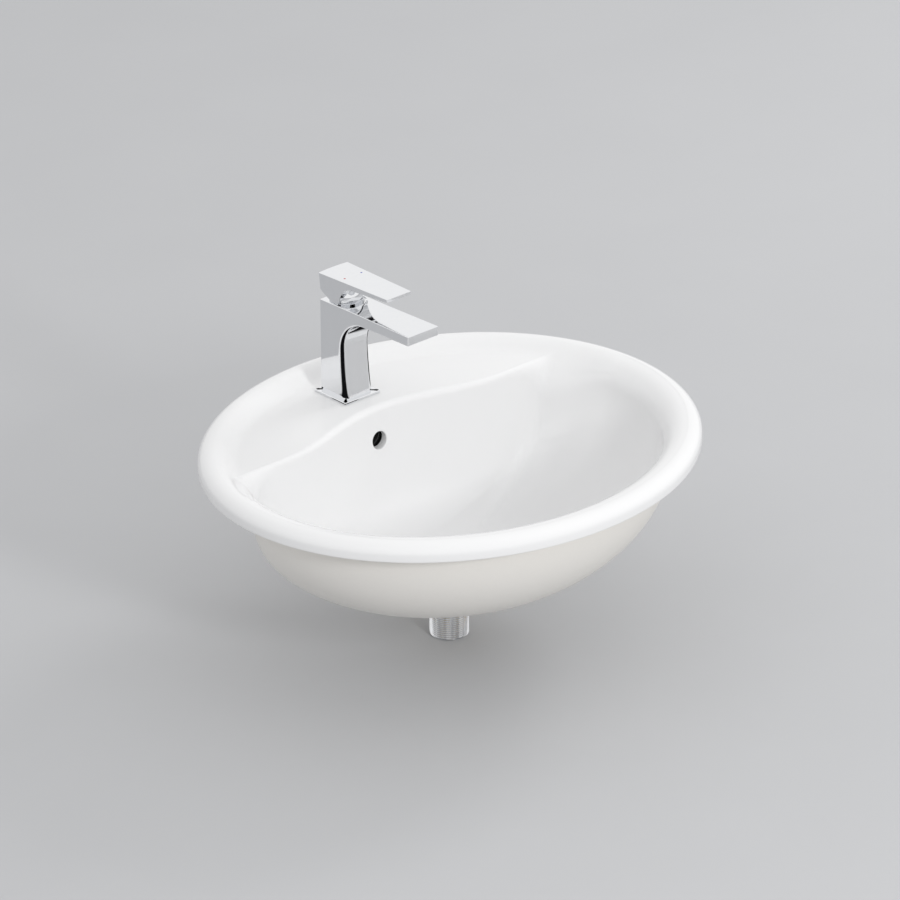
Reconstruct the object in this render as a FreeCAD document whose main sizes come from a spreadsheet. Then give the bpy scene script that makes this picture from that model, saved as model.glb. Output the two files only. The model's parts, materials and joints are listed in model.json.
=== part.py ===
import FreeCAD, Part
import math
import os
import re
import Sketcher

# Inset oval basin with a single-lever mixer and a push-open waste
# Millimetres; origin at the centre of the rim outline on the worktop, Y back to the mixer, Z up

SIZES = [
    ("rim_length", 550, "rim outline along X"),
    ("rim_width", 480, "rim outline along Y"),
    ("rim_band", 7, "upright outer band of the rim"),
    ("rim_height", 19, "crown of the rim over the worktop"),
    ("crown_offset", 15, "crown in from the outline"),
    ("deck_level", 8, "tap deck over the worktop"),
    ("deck_offset", 42, "where the rim has come down to the deck"),
    ("wall_offset", 40, "bowl wall in from the outline, front and sides"),
    ("wall_round", 26, "width of the rounding over the front and side walls"),
    ("ledge_inset", 155.5, "bowl's back wall at the sides, in from the rim's back"),
    ("ledge_bay", 29, "how far the back wall bays out at the middle"),
    ("bay_half", 150, "half length of the bay"),
    ("ledge_round", 7, "rounding between deck and back wall"),
    ("corner_blend", 7, "softness of the bowl's two back corners"),
    ("corner_draw", 16, "how far the side walls draw in at these corners"),
    ("bowl_depth", 126, "bowl floor under the worktop"),
    ("waste_back", 4, "waste behind the centre"),
    ("back_gap", 6, "floor between the waste seat and the foot of the back wall"),
    ("floor_margin", 1.5, "flat floor around the waste flange"),
    ("seat_width", 22, "rim underside that lies on the worktop"),
    ("deck_thickness", 13, "china of the deck"),
    ("wall_thickness", 11, "china of the walls"),
    ("floor_thickness", 14, "china of the floor"),
    ("channel_outer", 7.75, "china behind the overflow channel"),
    ("housing_half", 45, "half length of the thicker china around the channel"),
    ("housing_blend", 25, "length over which it thins out"),
    ("boss_wall", 22, "china around the waste hole"),
    ("boss_height", 42, "bowl floor to the end of the boss"),
    ("foot_step", 10, "underside of the bowl floor around the boss"),
    ("overflow_radius", 9.5, "overflow hole"),
    ("overflow_depth", 30.5, "overflow hole under the worktop"),
    ("channel_margin", 4.5, "overflow channel beside the hole"),
    ("channel_wall", 8, "china between bowl and channel"),
    ("channel_gap", 9, "overflow channel from front to back"),
    ("tap_setback", 48.5, "mixer axis behind the middle of the bay"),
    ("tap_hole_gap", 2, "mixer hole in the deck around the mixer's foot"),
    ("column_width", 39, "mixer column and spout"),
    ("column_height", 107, "rear top of the column over the deck"),
    ("waist_depth", 4.9, "how far the column's front falls back"),
    ("spout_slope", 3.5, "rise of the spout's underside"),
    ("arch_radius", 36, "arch between column and spout"),
    ("spout_reach", 119.5, "mixer axis to the spout tip"),
    ("tip_rise", 3.3, "top of the spout tip over the column's rear top"),
    ("tip_thickness", 10.3, "spout tip"),
    ("column_round", 6, "front corners of the column"),
    ("edge_round", 0.8, "small rounding of the mixer's edges"),
    ("plate_margin", 5, "base plate around the column"),
    ("plate_thickness", 3, "base plate"),
    ("spigot_step", 4, "foot of the column in from its sides"),
    ("spigot_length", 8, "foot under the column"),
    ("inlet_margin", 0.5, "inlets in from half way to the foot's wall, doubled"),
    ("inlet_back", 4, "inlet axes behind the mixer axis"),
    ("inlet_radius", 4.6, "threaded inlets"),
    ("inlet_length", 14, "threaded inlets"),
    ("supply_radius", 3, "water ways in the column"),
    ("outlet_drop", 13, "outlet of the cartridge under the column's top"),
    ("outlet_wall", 6.8, "riser to the spout before the cartridge bore"),
    ("way_rise", 3.2, "water way over the spout's underside"),
    ("stud_wall", 3, "fixing stud in from the foot's wall"),
    ("stud_radius", 4, "fixing stud"),
    ("stud_length", 70, "fixing stud"),
    ("stud_grip", 17, "fixing stud in the column's foot"),
    ("clamp_overlap", 3.5, "gasket and washer around the mixer hole"),
    ("slot_room", 0.9, "their slot beside the supply pipes"),
    ("gasket_thickness", 3, "gasket under the deck"),
    ("washer_thickness", 2, "washer under the gasket"),
    ("nut_height", 12, "fixing nut"),
    ("nut_flats", 13, "fixing nut over its flats"),
    ("seal_width", 4, "base seal around the mixer hole"),
    ("seal_thickness", 1, "base seal"),
    ("column_wall", 5.3, "column beside the cartridge bore"),
    ("cartridge_depth", 25, "cartridge bore"),
    ("port_gasket_thickness", 1, "gasket under the cartridge"),
    ("base_height", 4, "cartridge base"),
    ("disc_height", 3.5, "each ceramic disc"),
    ("disc_travel", 4, "room for the moving disc to slide"),
    ("ball_sink", 1, "ball's centre under the top of the disc carrier"),
    ("ball_gap", 0.4, "socket around the spindle's ball"),
    ("ball_radius", 2.6, "ball end of the spindle"),
    ("ball_arm", 9, "ball under the pivot"),
    ("pivot_rise", 5, "lever pivot over the column top"),
    ("guide_half", 5, "spindle guide over and under the pivot"),
    ("pin_radius", 1.5, "pivot pin"),
    ("pin_inset", 0.84, "ends of the pivot pin in from the guide's side"),
    ("spindle_width", 7, "square of the spindle"),
    ("lever_roof", 2, "lever over the end of the spindle"),
    ("housing_wall", 1.2, "cartridge housing"),
    ("housing_lip", 1.5, "lip that keeps the guide in"),
    ("lip_reach", 1.5, "lip inwards over the guide"),
    ("counterbore_step", 1.8, "wider top of the cartridge bore"),
    ("counterbore_depth", 8, "wider top of the cartridge bore"),
    ("shoulder_height", 2, "shoulder of the cartridge housing"),
    ("dome_gap", 0.43, "dome cover over the cartridge housing"),
    ("dome_wall", 1.2, "dome cover"),
    ("dome_open", 11.4, "opening of the dome for the lever"),
    ("lever_gap", 0.9, "hollow of the lever around the dome"),
    ("lever_overhang", 2.4, "lever behind the column"),
    ("lever_front", 82.5, "lever before the mixer axis"),
    ("lever_margin", 0.5, "lever beside the column at the rear"),
    ("lever_tip_half", 16.5, "half width of the lever at the tip"),
    ("lever_crown", 7.1, "lever top over its hollow, rear"),
    ("lever_rise", 2, "rise of the lever's top to its tip"),
    ("lever_thickness", 4, "lever at the tip"),
    ("lever_skirt", 2.7, "lowest edge of the lever under the pivot"),
    ("lever_arch", 20, "arch under the lever"),
    ("arch_setback", 12.9, "start of the arch before the hollow"),
    ("arch_drop", 5.5, "start of the arch under the lever's rear top"),
    ("heel_inset", 2.3, "rear lower edge in from the rear"),
    ("lever_heel_rise", 6.7, "rear lower edge over the pivot"),
    ("screw_drop", 4.6, "grub screw under the lever's rear top"),
    ("screw_radius", 2, "grub screw"),
    ("screw_length", 8, "grub screw"),
    ("cap_radius", 2.5, "cover of the grub screw's hole"),
    ("cap_length", 2, "cover of the grub screw's hole"),
    ("dot_radius", 1.2, "hot and cold marks"),
    ("dot_side", 11.5, "marks from the mixer axis along X"),
    ("dot_front", 11, "marks before the mixer axis"),
    ("dot_height", 0.6, "marks"),
    ("aerator_setback", 13.5, "aerator behind the spout tip"),
    ("aerator_radius", 9.4, "aerator housing"),
    ("aerator_depth", 5.8, "aerator pocket over the tip's underside"),
    ("aerator_drop", 1.9, "aerator under the tip's underside"),
    ("aerator_wall", 1.8, "aerator housing"),
    ("washer_height", 1.6, "aerator washer"),
    ("jet_radius", 0.8, "holes of the aerator insert"),
    ("jet_inner", 2.6, "inner ring of holes"),
    ("jet_outer", 5.2, "outer ring of holes"),
    ("spout_way_radius", 2.7, "water way in the spout"),
    ("waste_hole_gap", 2.05, "waste hole in the china around the thread"),
    ("flange_width", 10.55, "waste flange around the thread"),
    ("flange_thickness", 2.5, "waste flange"),
    ("flange_recess", 3.5, "recess for the flange in the floor"),
    ("waste_seal_thickness", 2, "seal under the flange"),
    ("thread_radius", 20.95, "waste thread, outside"),
    ("waste_wall", 2.4, "waste tube"),
    ("waste_length", 90, "waste from its top to its end"),
    ("cone_lip", 0.45, "mouth of the waste in from the thread"),
    ("cone_depth", 5, "seat for the plug"),
    ("slot_width", 14, "overflow slots"),
    ("slot_height", 12, "overflow slots"),
    ("web_drop", 36, "web under the flange's top"),
    ("web_thickness", 5, "web that carries the plug"),
    ("web_rib", 0.775, "web outside its drain holes"),
    ("hub_wall", 2.6, "threaded foot of the click housing around the stem"),
    ("waste_gasket_thickness", 4, "gasket under the boss"),
    ("boss_gasket_width", 9, "gasket under the boss around the waste hole"),
    ("waste_nut_height", 11, "back nut of the waste"),
    ("waste_nut_wall", 8.05, "back nut around the thread, at its flats"),
    ("relief_drop", 1, "thread relief under the back nut"),
    ("relief_height", 2, "thread relief under the back nut"),
    ("plug_overlap", 6.5, "plug cap over the mouth's edge"),
    ("plug_edge", 2, "plug cap at its rim"),
    ("plug_crown", 2.2, "rise of the plug cap's top"),
    ("plug_gap", 0.6, "closed plug cap over the flange"),
    ("ring_inset", 0.9, "seal ring of the plug in from the mouth"),
    ("ring_width", 4, "seal ring of the plug"),
    ("stem_radius", 3, "plug stem"),
    ("collar_gap", 0.4, "collar of the plug stem in the click housing"),
    ("collar_height", 2.5, "collar of the plug stem"),
    ("tail_radius", 2.4, "plug stem under its collar"),
    ("tail_drop", 6, "plug stem under the web"),
    ("click_wall", 2, "wall of the click housing"),
    ("click_bore", 6, "click housing, inside"),
    ("click_floor", 3, "floor of the click housing"),
    ("click_cap_height", 2.5, "cap of the click housing"),
    ("spring_length", 11, "spring with the plug closed"),
    ("plug_lift", 9, "lift of the plug"),
    ("click_spare", 1, "room over the collar with the plug up"),
    ("fit", 0.06, "clearance of pieces that turn or slide"),
    ("play", 0.3, "clearance of pieces that only pass each other"),
]

# Sizes that follow from the ones above
DERIVED = [
    ("ledge_back", "rim_width / 2 - ledge_inset", "bowl's back wall at the sides, behind the centre"),
    ("channel_width", "2 * (overflow_radius + channel_margin)", "overflow channel along X"),
    ("overflow_wall", "channel_wall + channel_gap + channel_outer - 1.25 * wall_thickness",
     "extra china around the overflow channel"),
    ("tap_back", "ledge_back + ledge_bay + tap_setback", "mixer axis behind the centre"),
    ("spigot_radius", "column_width / 2 - spigot_step", "foot of the column in the mixer hole"),
    ("tap_hole_radius", "spigot_radius + tap_hole_gap", "mixer hole in the deck"),
    ("seal_radius", "tap_hole_radius + seal_width", "base seal, outside"),
    ("clamp_radius", "tap_hole_radius + clamp_overlap", "gasket and washer under the deck"),
    ("plate_width", "column_width + 2 * plate_margin", "base plate"),
    ("inlet_side", "(spigot_radius - inlet_margin) / 2", "inlet axes from the mixer axis along X"),
    ("clamp_slot", "inlet_side + inlet_radius + slot_room", "half width of the slot for the pipes"),
    ("stud_front", "spigot_radius - stud_radius - stud_wall", "fixing stud before the mixer axis"),
    ("tip_height", "column_height + tip_rise", "top of the spout tip over the deck"),
    ("arch_height", "tip_height - tip_thickness - spout_slope", "top of the arch over the deck"),
    ("spout_way_rise", "tip_height - tip_thickness + way_rise", "water way in the spout over the deck"),
    ("aerator_front", "spout_reach - aerator_setback", "aerator before the mixer axis"),
    ("bore_radius", "column_width / 2 - column_wall", "cartridge bore"),
    ("counterbore_radius", "bore_radius + counterbore_step", "wider top of the cartridge bore"),
    ("cartridge_seat", "column_height - cartridge_depth", "floor of the bore over the deck"),
    ("outlet_rise", "column_height - outlet_drop", "outlet of the cartridge over the deck"),
    ("outlet_front", "bore_radius + outlet_wall", "riser to the spout before the mixer axis"),
    ("fixed_radius", "bore_radius - 2 * play - housing_wall", "fixed disc"),
    ("moving_radius", "fixed_radius - disc_travel", "moving disc and carrier"),
    ("carrier_height",
     "cartridge_depth + pivot_rise - ball_arm + ball_sink"
     " - port_gasket_thickness - base_height - 2 * disc_height", "disc carrier"),
    ("socket_radius", "ball_radius + ball_gap", "socket in the carrier for the spindle's ball"),
    ("pin_half", "fixed_radius + play - fit - pin_inset", "half length of the pivot pin"),
    ("dome_radius",
     "sqrt((bore_radius - play) * (bore_radius - play)"
     " + (guide_half + fit + housing_lip) * (guide_half + fit + housing_lip)) + dome_gap + dome_wall",
     "dome cover, a ball around the pivot"),
    ("lever_hollow", "dome_radius + lever_gap", "hollow of the lever around the dome"),
    ("lever_rear", "column_width / 2 + lever_overhang", "lever behind the mixer axis"),
    ("lever_rear_half", "column_width / 2 + lever_margin", "half width of the lever at the rear"),
    ("lever_rear_top", "lever_hollow + lever_crown", "lever top over the pivot, rear"),
    ("lever_tip_top", "lever_rear_top + lever_rise", "lever top over the pivot, tip"),
    ("lever_arch_front", "lever_hollow + arch_setback", "start of the arch before the mixer axis"),
    ("lever_arch_rise", "lever_rear_top - arch_drop", "start of the arch over the pivot"),
    ("lever_heel", "lever_rear - heel_inset", "rear lower edge behind the mixer axis"),
    ("spindle_top", "lever_rear_top - lever_roof", "spindle end over the pivot"),
    ("screw_rise", "lever_rear_top - screw_drop", "grub screw over the pivot"),
    ("waste_hole_radius", "thread_radius + waste_hole_gap", "waste hole in the china"),
    ("boss_radius", "waste_hole_radius + boss_wall", "boss around the waste hole"),
    ("flange_radius", "thread_radius + flange_width", "waste flange"),
    ("floor_radius", "flange_radius + floor_margin", "flat floor around the waste"),
    ("cone_radius", "thread_radius - cone_lip", "mouth of the waste"),
    ("ring_radius", "cone_radius - ring_inset", "seal ring of the plug, outside"),
    ("plug_radius", "cone_radius + plug_overlap", "plug cap"),
    ("click_radius", "click_bore + click_wall", "click housing, outside"),
    ("collar_radius", "click_bore - collar_gap", "collar of the plug stem"),
    ("hub_radius", "tail_radius + hub_wall", "threaded hole of the web"),
    ("web_hole_radius", "(thread_radius - waste_wall - click_radius) / 2 - web_rib",
     "drain holes of the web"),
    ("web_hole_circle", "click_radius + web_hole_radius", "drain holes from the waste axis"),
    ("waste_gasket_radius", "waste_hole_radius + boss_gasket_width", "gasket under the boss"),
    ("waste_nut_flats", "2 * (thread_radius + waste_nut_wall)", "back nut over its flats"),
]

doc = FreeCAD.newDocument("inset_basin")
sheet = doc.addObject("Spreadsheet::Sheet", "sizes")
for row, (alias, value, note) in enumerate(SIZES + DERIVED, start=1):
    sheet.set(f"A{row}", note)
    sheet.set(f"B{row}", f"={value}")
    sheet.setAlias(f"B{row}", alias)
doc.recompute()

nodes = []


def cell(text):
    return re.sub(r"\b[a-z][a-z_]*[a-z]\b(?!\()", lambda word: "sizes." + word.group(0), text)


def num(text):
    return float(sheet.evalExpression(cell(text)))


def bind(item, name, text):
    item.setExpression(name, cell(text))


def locate(item, place):
    for axis, text in zip("xyz", place):
        bind(item, "Placement.Base." + axis, text)


# Sketch helpers: outlines are lists of (across, up), with radius and side added where an arc follows
def sketch_on(body, role, name):
    sketch = body.newObject("Sketcher::SketchObject", name)
    plane = [item for item in body.Origin.OriginFeatures if item.Role == role][0]
    sketch.AttachmentSupport = [(plane, "")]
    sketch.MapMode = "FlatFace"
    return sketch


def arc_between(start, end, radius, side):
    chord = end - start
    left = FreeCAD.Vector(-chord.y, chord.x, 0).normalize()
    rise = math.sqrt(radius ** 2 - chord.Length ** 2 / 4)
    centre = (start + end) / 2 + left * rise * side
    return Part.Arc(start, centre - left * radius * side, end)


def pin(sketch, kind, geometry, point, text):
    index = sketch.addConstraint(Sketcher.Constraint(kind, -1, 1, geometry, point, num(text)))
    sketch.setExpression(f"Constraints[{index}]", cell(text))


def draw(sketch, outline):
    spots = [FreeCAD.Vector(num(spot[0]), num(spot[1]), 0) for spot in outline]
    ends = []
    for index, spot in enumerate(outline):
        start = spots[index]
        end = spots[(index + 1) % len(spots)]
        if len(spot) == 2:
            line = Part.LineSegment(start, end)
        else:
            line = arc_between(start, end, num(spot[2]), spot[3])
        geometry = sketch.addGeometry(line, False)
        forward = sketch.getPoint(geometry, 1).distanceToPoint(start) < 1e-6
        ends.append((geometry, 1, 2) if forward else (geometry, 2, 1))
    for index, spot in enumerate(outline):
        geometry, first, last = ends[index]
        after, after_first, after_last = ends[(index + 1) % len(ends)]
        sketch.addConstraint(Sketcher.Constraint("Coincident", geometry, last, after, after_first))
        pin(sketch, "DistanceX", geometry, first, spot[0])
        pin(sketch, "DistanceY", geometry, first, spot[1])
        if len(spot) > 2:
            bend = sketch.addConstraint(Sketcher.Constraint("Radius", geometry, num(spot[2])))
            sketch.setExpression(f"Constraints[{bend}]", cell(spot[2]))


def new_body(label, place):
    body = doc.addObject("PartDesign::Body", label)
    locate(body, place)
    return body


def turned(label, outline, place):
    body = new_body(label, place)
    sketch = sketch_on(body, "XZ_Plane", label + "_section")
    draw(sketch, outline)
    doc.recompute()
    turn = body.newObject("PartDesign::Revolution", label + "_turn")
    turn.Profile = sketch
    turn.ReferenceAxis = (sketch, ["V_Axis"])
    turn.Angle = 360
    doc.recompute()
    return body


def padded(label, role, outlines, length, place, symmetric=True):
    body = new_body(label, place)
    sketch = sketch_on(body, role, label + "_outline")
    for outline in outlines:
        draw(sketch, outline)
    doc.recompute()
    pad = body.newObject("PartDesign::Pad", label + "_pad")
    pad.Profile = sketch
    pad.SideType = "Symmetric" if symmetric else "One side"
    bind(pad, "Length", length)
    doc.recompute()
    return body


AXES = {
    "x": FreeCAD.Rotation(FreeCAD.Vector(0, 1, 0), 90),
    "y": FreeCAD.Rotation(FreeCAD.Vector(1, 0, 0), -90),
    "z": FreeCAD.Rotation(),
}


def rod(label, radius, height, place, axis="z"):
    item = doc.addObject("Part::Cylinder", label)
    bind(item, "Radius", radius)
    bind(item, "Height", height)
    item.Placement.Rotation = AXES[axis]
    locate(item, place)
    return item


def block(label, length, width, height, place):
    item = doc.addObject("Part::Box", label)
    bind(item, "Length", length)
    bind(item, "Width", width)
    bind(item, "Height", height)
    locate(item, place)
    return item


def prism(label, flats, height, place):
    item = doc.addObject("Part::Prism", label)
    item.Polygon = 6
    bind(item, "Circumradius", f"({flats}) / 1.7320508")
    bind(item, "Height", height)
    locate(item, place)
    return item


def fused(label, items):
    fuse = doc.addObject("Part::MultiFuse", label)
    fuse.Shapes = items
    return fuse


def cut(label, base, tools):
    result = doc.addObject("Part::Cut", label)
    result.Base = base
    result.Tool = tools[0] if len(tools) == 1 else fused(label + "_tools", tools)
    doc.recompute()
    removed = base.Shape.Volume - result.Shape.Volume
    if removed < 0.01:
        raise ValueError(label + ": the cut removes nothing")
    return result


def keep(item, label):
    item.Label = label
    nodes.append(item)


# Basin: rows of points around the waste axis carry the shape from the rim to the floor
COLUMNS = 180
DECK_STEPS = [0.05, 0.1, 0.15, 0.2, 0.26, 0.32, 0.4, 0.5, 0.6, 0.7, 0.8, 0.9, 1.0]
UNDER_STEPS = [0.12, 0.25, 0.4, 0.6, 0.8, 0.9, 0.96, 1.0]
WALL_STEPS = 20

half_x = num("rim_length / 2")
half_y = num("rim_width / 2")
waste_y = num("waste_back")
rim_band = num("rim_band")
rim_height = num("rim_height")
crown_offset = num("crown_offset")
deck_level = num("deck_level")
deck_offset = num("deck_offset")
wall_offset = num("wall_offset")
wall_round = num("wall_round")
wall_thickness = num("wall_thickness")
ledge_back = num("ledge_back")
ledge_bay = num("ledge_bay")
ledge_round = num("ledge_round")
bay_half = num("bay_half")
corner_blend = num("corner_blend")
corner_draw = num("corner_draw")
corner_y = ledge_back - waste_y
corner_x = (half_x - wall_offset) * math.sqrt(1 - (ledge_back / (half_y - wall_offset)) ** 2)
corner_sine = corner_y / math.hypot(corner_x, corner_y)
bowl_depth = num("bowl_depth")
floor_radius = num("floor_radius")
back_foot = num("waste_back + floor_radius + back_gap")
overflow_wall = num("overflow_wall")
housing_half = num("housing_half")
housing_blend = num("housing_blend")
seat_width = num("seat_width")
floor_thickness = num("floor_thickness")
boss_radius = num("boss_radius")
foot_step = num("foot_step")
boss_height = num("boss_height")
deck_thickness = num("deck_thickness")


def smooth(value):
    value = min(max(value, 0.0), 1.0)
    return value * value * (3 - 2 * value)


def soft_min(first, second, softness):
    near = min(first, second)
    far = max(first, second)
    return near - softness * math.log(1 + math.exp((near - far) / softness))


def oval_reach(angle, inset):
    across = half_x - inset
    along = half_y - inset
    square = (math.cos(angle) / across) ** 2 + (math.sin(angle) / along) ** 2
    linear = waste_y * math.sin(angle) / along ** 2
    rest = (waste_y / along) ** 2 - 1
    return (math.sqrt(linear ** 2 - square * rest) - linear) / square


def inset_at(angle, reach):
    x = reach * math.cos(angle)
    y = waste_y + reach * math.sin(angle)
    low, high = -5.0, half_y * 0.98
    for step in range(50):
        middle = (low + high) / 2
        if (x / (half_x - middle)) ** 2 + (y / (half_y - middle)) ** 2 > 1:
            high = middle
        else:
            low = middle
    return low


# Back wall: the bayed ledge line, drawn in towards its foot by the cosine of the turn down the wall
def ledge_y(x):
    share = min(abs(x) / bay_half, 1.0)
    return ledge_back + ledge_bay * (1 + math.cos(math.pi * share)) / 2


def back_reach(angle, turn, thickness):
    if math.sin(angle) < 0.03:
        return 8 * half_x
    low, high = 0.0, 16 * half_x
    for step in range(60):
        middle = (low + high) / 2
        x = middle * math.cos(angle)
        wall = back_foot + (ledge_y(x) - back_foot) * math.cos(turn) + thickness(x)
        if waste_y + middle * math.sin(angle) > wall:
            high = middle
        else:
            low = middle
    return low


def no_thickness(x):
    return 0.0


def back_thickness(x):
    return 1.25 * wall_thickness + overflow_wall * smooth((housing_half - abs(x)) / housing_blend)


# Side walls: the oval, drawn in towards the back corners over the upper half of the wall
def side_reach(angle, turn, inset):
    share = smooth(math.sin(angle) / corner_sine)
    fade = smooth((55 - math.degrees(turn)) / 50)
    return oval_reach(angle, inset + corner_draw * share * fade)


def wall_reach(angle, turn, inset, foot_radius, thickness):
    oval = foot_radius + (side_reach(angle, turn, inset) - foot_radius) * math.cos(turn)
    softness = corner_blend * (0.25 + 0.75 * math.cos(turn))
    return soft_min(oval, back_reach(angle, turn, thickness), softness)


def channel_share(angle):
    return smooth((34 - abs(math.degrees(angle) - 90)) / 20)


def deck_height(inset):
    share = (inset - crown_offset) / (deck_offset - crown_offset)
    share = min(max(share, 0.0), 1.0)
    return deck_level + (rim_height - deck_level) * (1 + math.cos(math.pi * share)) / 2


def rounding_at(angle):
    edge = wall_reach(angle, 0, wall_offset, floor_radius, no_thickness)
    gap = side_reach(angle, 0, wall_offset) - back_reach(angle, 0, no_thickness)
    width = wall_round + (ledge_round - wall_round) * smooth(gap / 70 + 0.5)
    stop = edge + width
    height = deck_height(inset_at(angle, stop))
    fall = deck_height(inset_at(angle, stop + 0.5)) - deck_height(inset_at(angle, stop - 0.5))
    lean = math.atan(max(fall, 0.0))
    radius = width / (1 - math.sin(lean))
    return stop, height, lean, radius


def upper_rows(angle):
    rows = [(oval_reach(angle, 0), rim_band * part / 3) for part in range(3)]
    for step in range(6):
        turn = math.radians(18 * step)
        inset = crown_offset * (1 - math.cos(turn))
        rows.append((oval_reach(angle, inset), rim_band + (rim_height - rim_band) * math.sin(turn)))
    stop, height, lean, radius = rounding_at(angle)
    start = oval_reach(angle, crown_offset)
    for part in DECK_STEPS:
        reach = start + (stop - start) * part
        rows.append((reach, deck_height(inset_at(angle, reach))))
    for step in range(1, 6):
        turn = lean + (math.pi / 2 - lean) * step / 5
        reach = stop - radius * (math.sin(turn) - math.sin(lean))
        rows.append((reach, height - radius * (math.cos(lean) - math.cos(turn))))
    top = rows[-1][1]
    for step in range(1, WALL_STEPS + 1):
        turn = math.pi / 2 * step / WALL_STEPS
        reach = wall_reach(angle, turn, wall_offset, floor_radius, no_thickness)
        rows.append((reach, top - (top + bowl_depth) * math.sin(turn)))
    return rows


def lower_rows(angle):
    seat_reach = oval_reach(angle, seat_width)
    wall_inset = wall_offset - wall_thickness
    foot_radius = boss_radius + foot_step
    outer = wall_reach(angle, 0, wall_inset, foot_radius, back_thickness)
    under = deck_level - deck_thickness
    rows = [(seat_reach, 0.0)]
    for part in UNDER_STEPS:
        reach = seat_reach + (outer - seat_reach) * part
        rows.append((reach, under * smooth((seat_reach - reach) / 10)))
    top = under - 4
    floor = -(bowl_depth + floor_thickness + overflow_wall * channel_share(angle))
    for step in range(WALL_STEPS + 1):
        turn = math.pi / 2 * step / WALL_STEPS
        reach = wall_reach(angle, turn, wall_inset, foot_radius, back_thickness)
        rows.append((reach, top - (top - floor) * math.sin(turn)))
    end = -(bowl_depth + boss_height)
    rows.append((boss_radius + 3, floor - 1.5))
    rows.append((boss_radius, floor + (end - floor) * 0.3))
    rows.append((boss_radius, floor + (end - floor) * 0.65))
    rows.append((boss_radius, end))
    return rows


def skin(row_maker):
    angles = [2 * math.pi * column / COLUMNS for column in range(COLUMNS)]
    lines = []
    for angle in angles:
        way = FreeCAD.Vector(math.cos(angle), math.sin(angle), 0)
        spots = row_maker(angle)
        lines.append([way * reach + FreeCAD.Vector(0, waste_y, z) for reach, z in spots])
    rows = len(lines[0])
    poles = [list(line) for line in lines]
    for step in range(30):
        poles = [
            [
                (lines[column][row] * 6 - poles[column - 1][row] - poles[(column + 1) % COLUMNS][row]) / 4
                for row in range(rows)
            ]
            for column in range(COLUMNS)
        ]
    surface = Part.BSplineSurface()
    surface.buildFromPolesMultsKnots(
        poles,
        [1] * (COLUMNS + 1),
        [4] + [1] * (rows - 4) + [4],
        list(range(COLUMNS + 1)),
        list(range(rows - 2)),
        True,
        False,
        3,
        3,
    )
    face = surface.toShape()
    rims = [edge for edge in face.Edges if edge.isClosed()]
    rims.sort(key=lambda edge: edge.BoundBox.XLength, reverse=True)
    return face, Part.Wire(rims[0]), Part.Wire(rims[-1])


def basin_solid():
    upper, outline, floor_rim = skin(upper_rows)
    lower, seat_rim, boss_rim = skin(lower_rows)
    seat = Part.makeFace([outline, seat_rim], "Part::FaceMakerBullseye")
    shell = Part.makeShell([upper, lower, seat, Part.Face(floor_rim), Part.Face(boss_rim)])
    shell.sewShape()
    solid = Part.makeSolid(shell)
    if solid.Volume < 0:
        solid.reverse()
    return solid


def channel_solid():
    stop, height, lean, radius = rounding_at(math.pi / 2)
    top = height - radius * math.cos(lean)
    depth = top + bowl_depth
    span = ledge_y(0) - back_foot
    near = []
    far = []
    for degrees in range(8, 91, 2):
        turn = math.radians(degrees)
        y = back_foot + span * math.cos(turn)
        z = top - depth * math.sin(turn)
        normal = FreeCAD.Vector(0, math.cos(turn) / span, -math.sin(turn) / depth).normalize()
        for side, distance in ((near, num("channel_wall")), (far, num("channel_wall + channel_gap"))):
            side.append(FreeCAD.Vector(0, y, z) + normal * distance)
    inner = waste_y + floor_radius / 2
    for side in (near, far):
        side.append(FreeCAD.Vector(0, inner, side[-1].z))
    half = FreeCAD.Vector(num("channel_width / 2"), 0, 0)
    spots = [spot - half for spot in near + far[::-1]]
    return Part.Face(Part.makePolygon(spots + spots[:1])).extrude(half * 2)


basin_blank = doc.addObject("Part::Feature", "basin_blank")
basin_blank.Shape = basin_solid()
channel = doc.addObject("Part::Feature", "overflow_channel")
channel.Shape = channel_solid()
recess_floor = "-bowl_depth - flange_recess"
boss_end = "-bowl_depth - boss_height"
basin = cut("basin", basin_blank, [
    channel,
    rod("tap_hole", "tap_hole_radius", "60", ("0", "tap_back", "deck_level - 40")),
    rod("overflow_hole", "overflow_radius", "channel_wall + 22",
        ("0", "ledge_back + ledge_bay - 18", "-overflow_depth"), "y"),
    rod("waste_hole", "waste_hole_radius", "boss_height + 20",
        ("0", "waste_back", f"{boss_end} - 10")),
    rod("recess", "flange_radius + 1", "flange_recess + 10",
        ("0", "waste_back", recess_floor)),
])
keep(basin, "basin")


# Heights and sides that several pieces share, as sums of the named sizes
plate_top = "deck_level + plate_thickness"
column_top = "deck_level + column_height"
pivot = "deck_level + column_height + pivot_rise"
foot = "deck_level + plate_thickness - spigot_length"
tip_under = "deck_level + tip_height - tip_thickness"
waist = "waist_depth - column_width / 2"
waist_span = "(arch_height - arch_radius - plate_thickness)"
seat = "deck_level + cartridge_seat"
gasket_top = f"{seat} + port_gasket_thickness"
base_top = f"{gasket_top} + base_height"
fixed_top = f"{base_top} + disc_height"
moving_top = f"{fixed_top} + disc_height"
carrier_top = f"{moving_top} + carrier_height"
dome_foot = "sqrt(dome_radius * dome_radius - pivot_rise * pivot_rise)"
housing_radius = "bore_radius - play"
housing_bore = "bore_radius - play - housing_wall"
at_tap = ("0", "tap_back", "0")
at_pivot = ("0", "tap_back", pivot)


# Rounded edges: Part::Fillet on the edges that a test picks, with a radius for each end
def rounded(label, base, pick):
    doc.recompute()
    chosen = []
    for index, edge in enumerate(base.Shape.Edges, start=1):
        radii = pick(edge)
        if radii:
            chosen.append((index, radii[0], radii[1]))
    fillet = doc.addObject("Part::Fillet", label)
    fillet.Base = base
    fillet.Edges = chosen
    doc.recompute()
    return fillet


def is_upright(edge):
    return edge.BoundBox.XLength + edge.BoundBox.YLength < 1e-4


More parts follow.
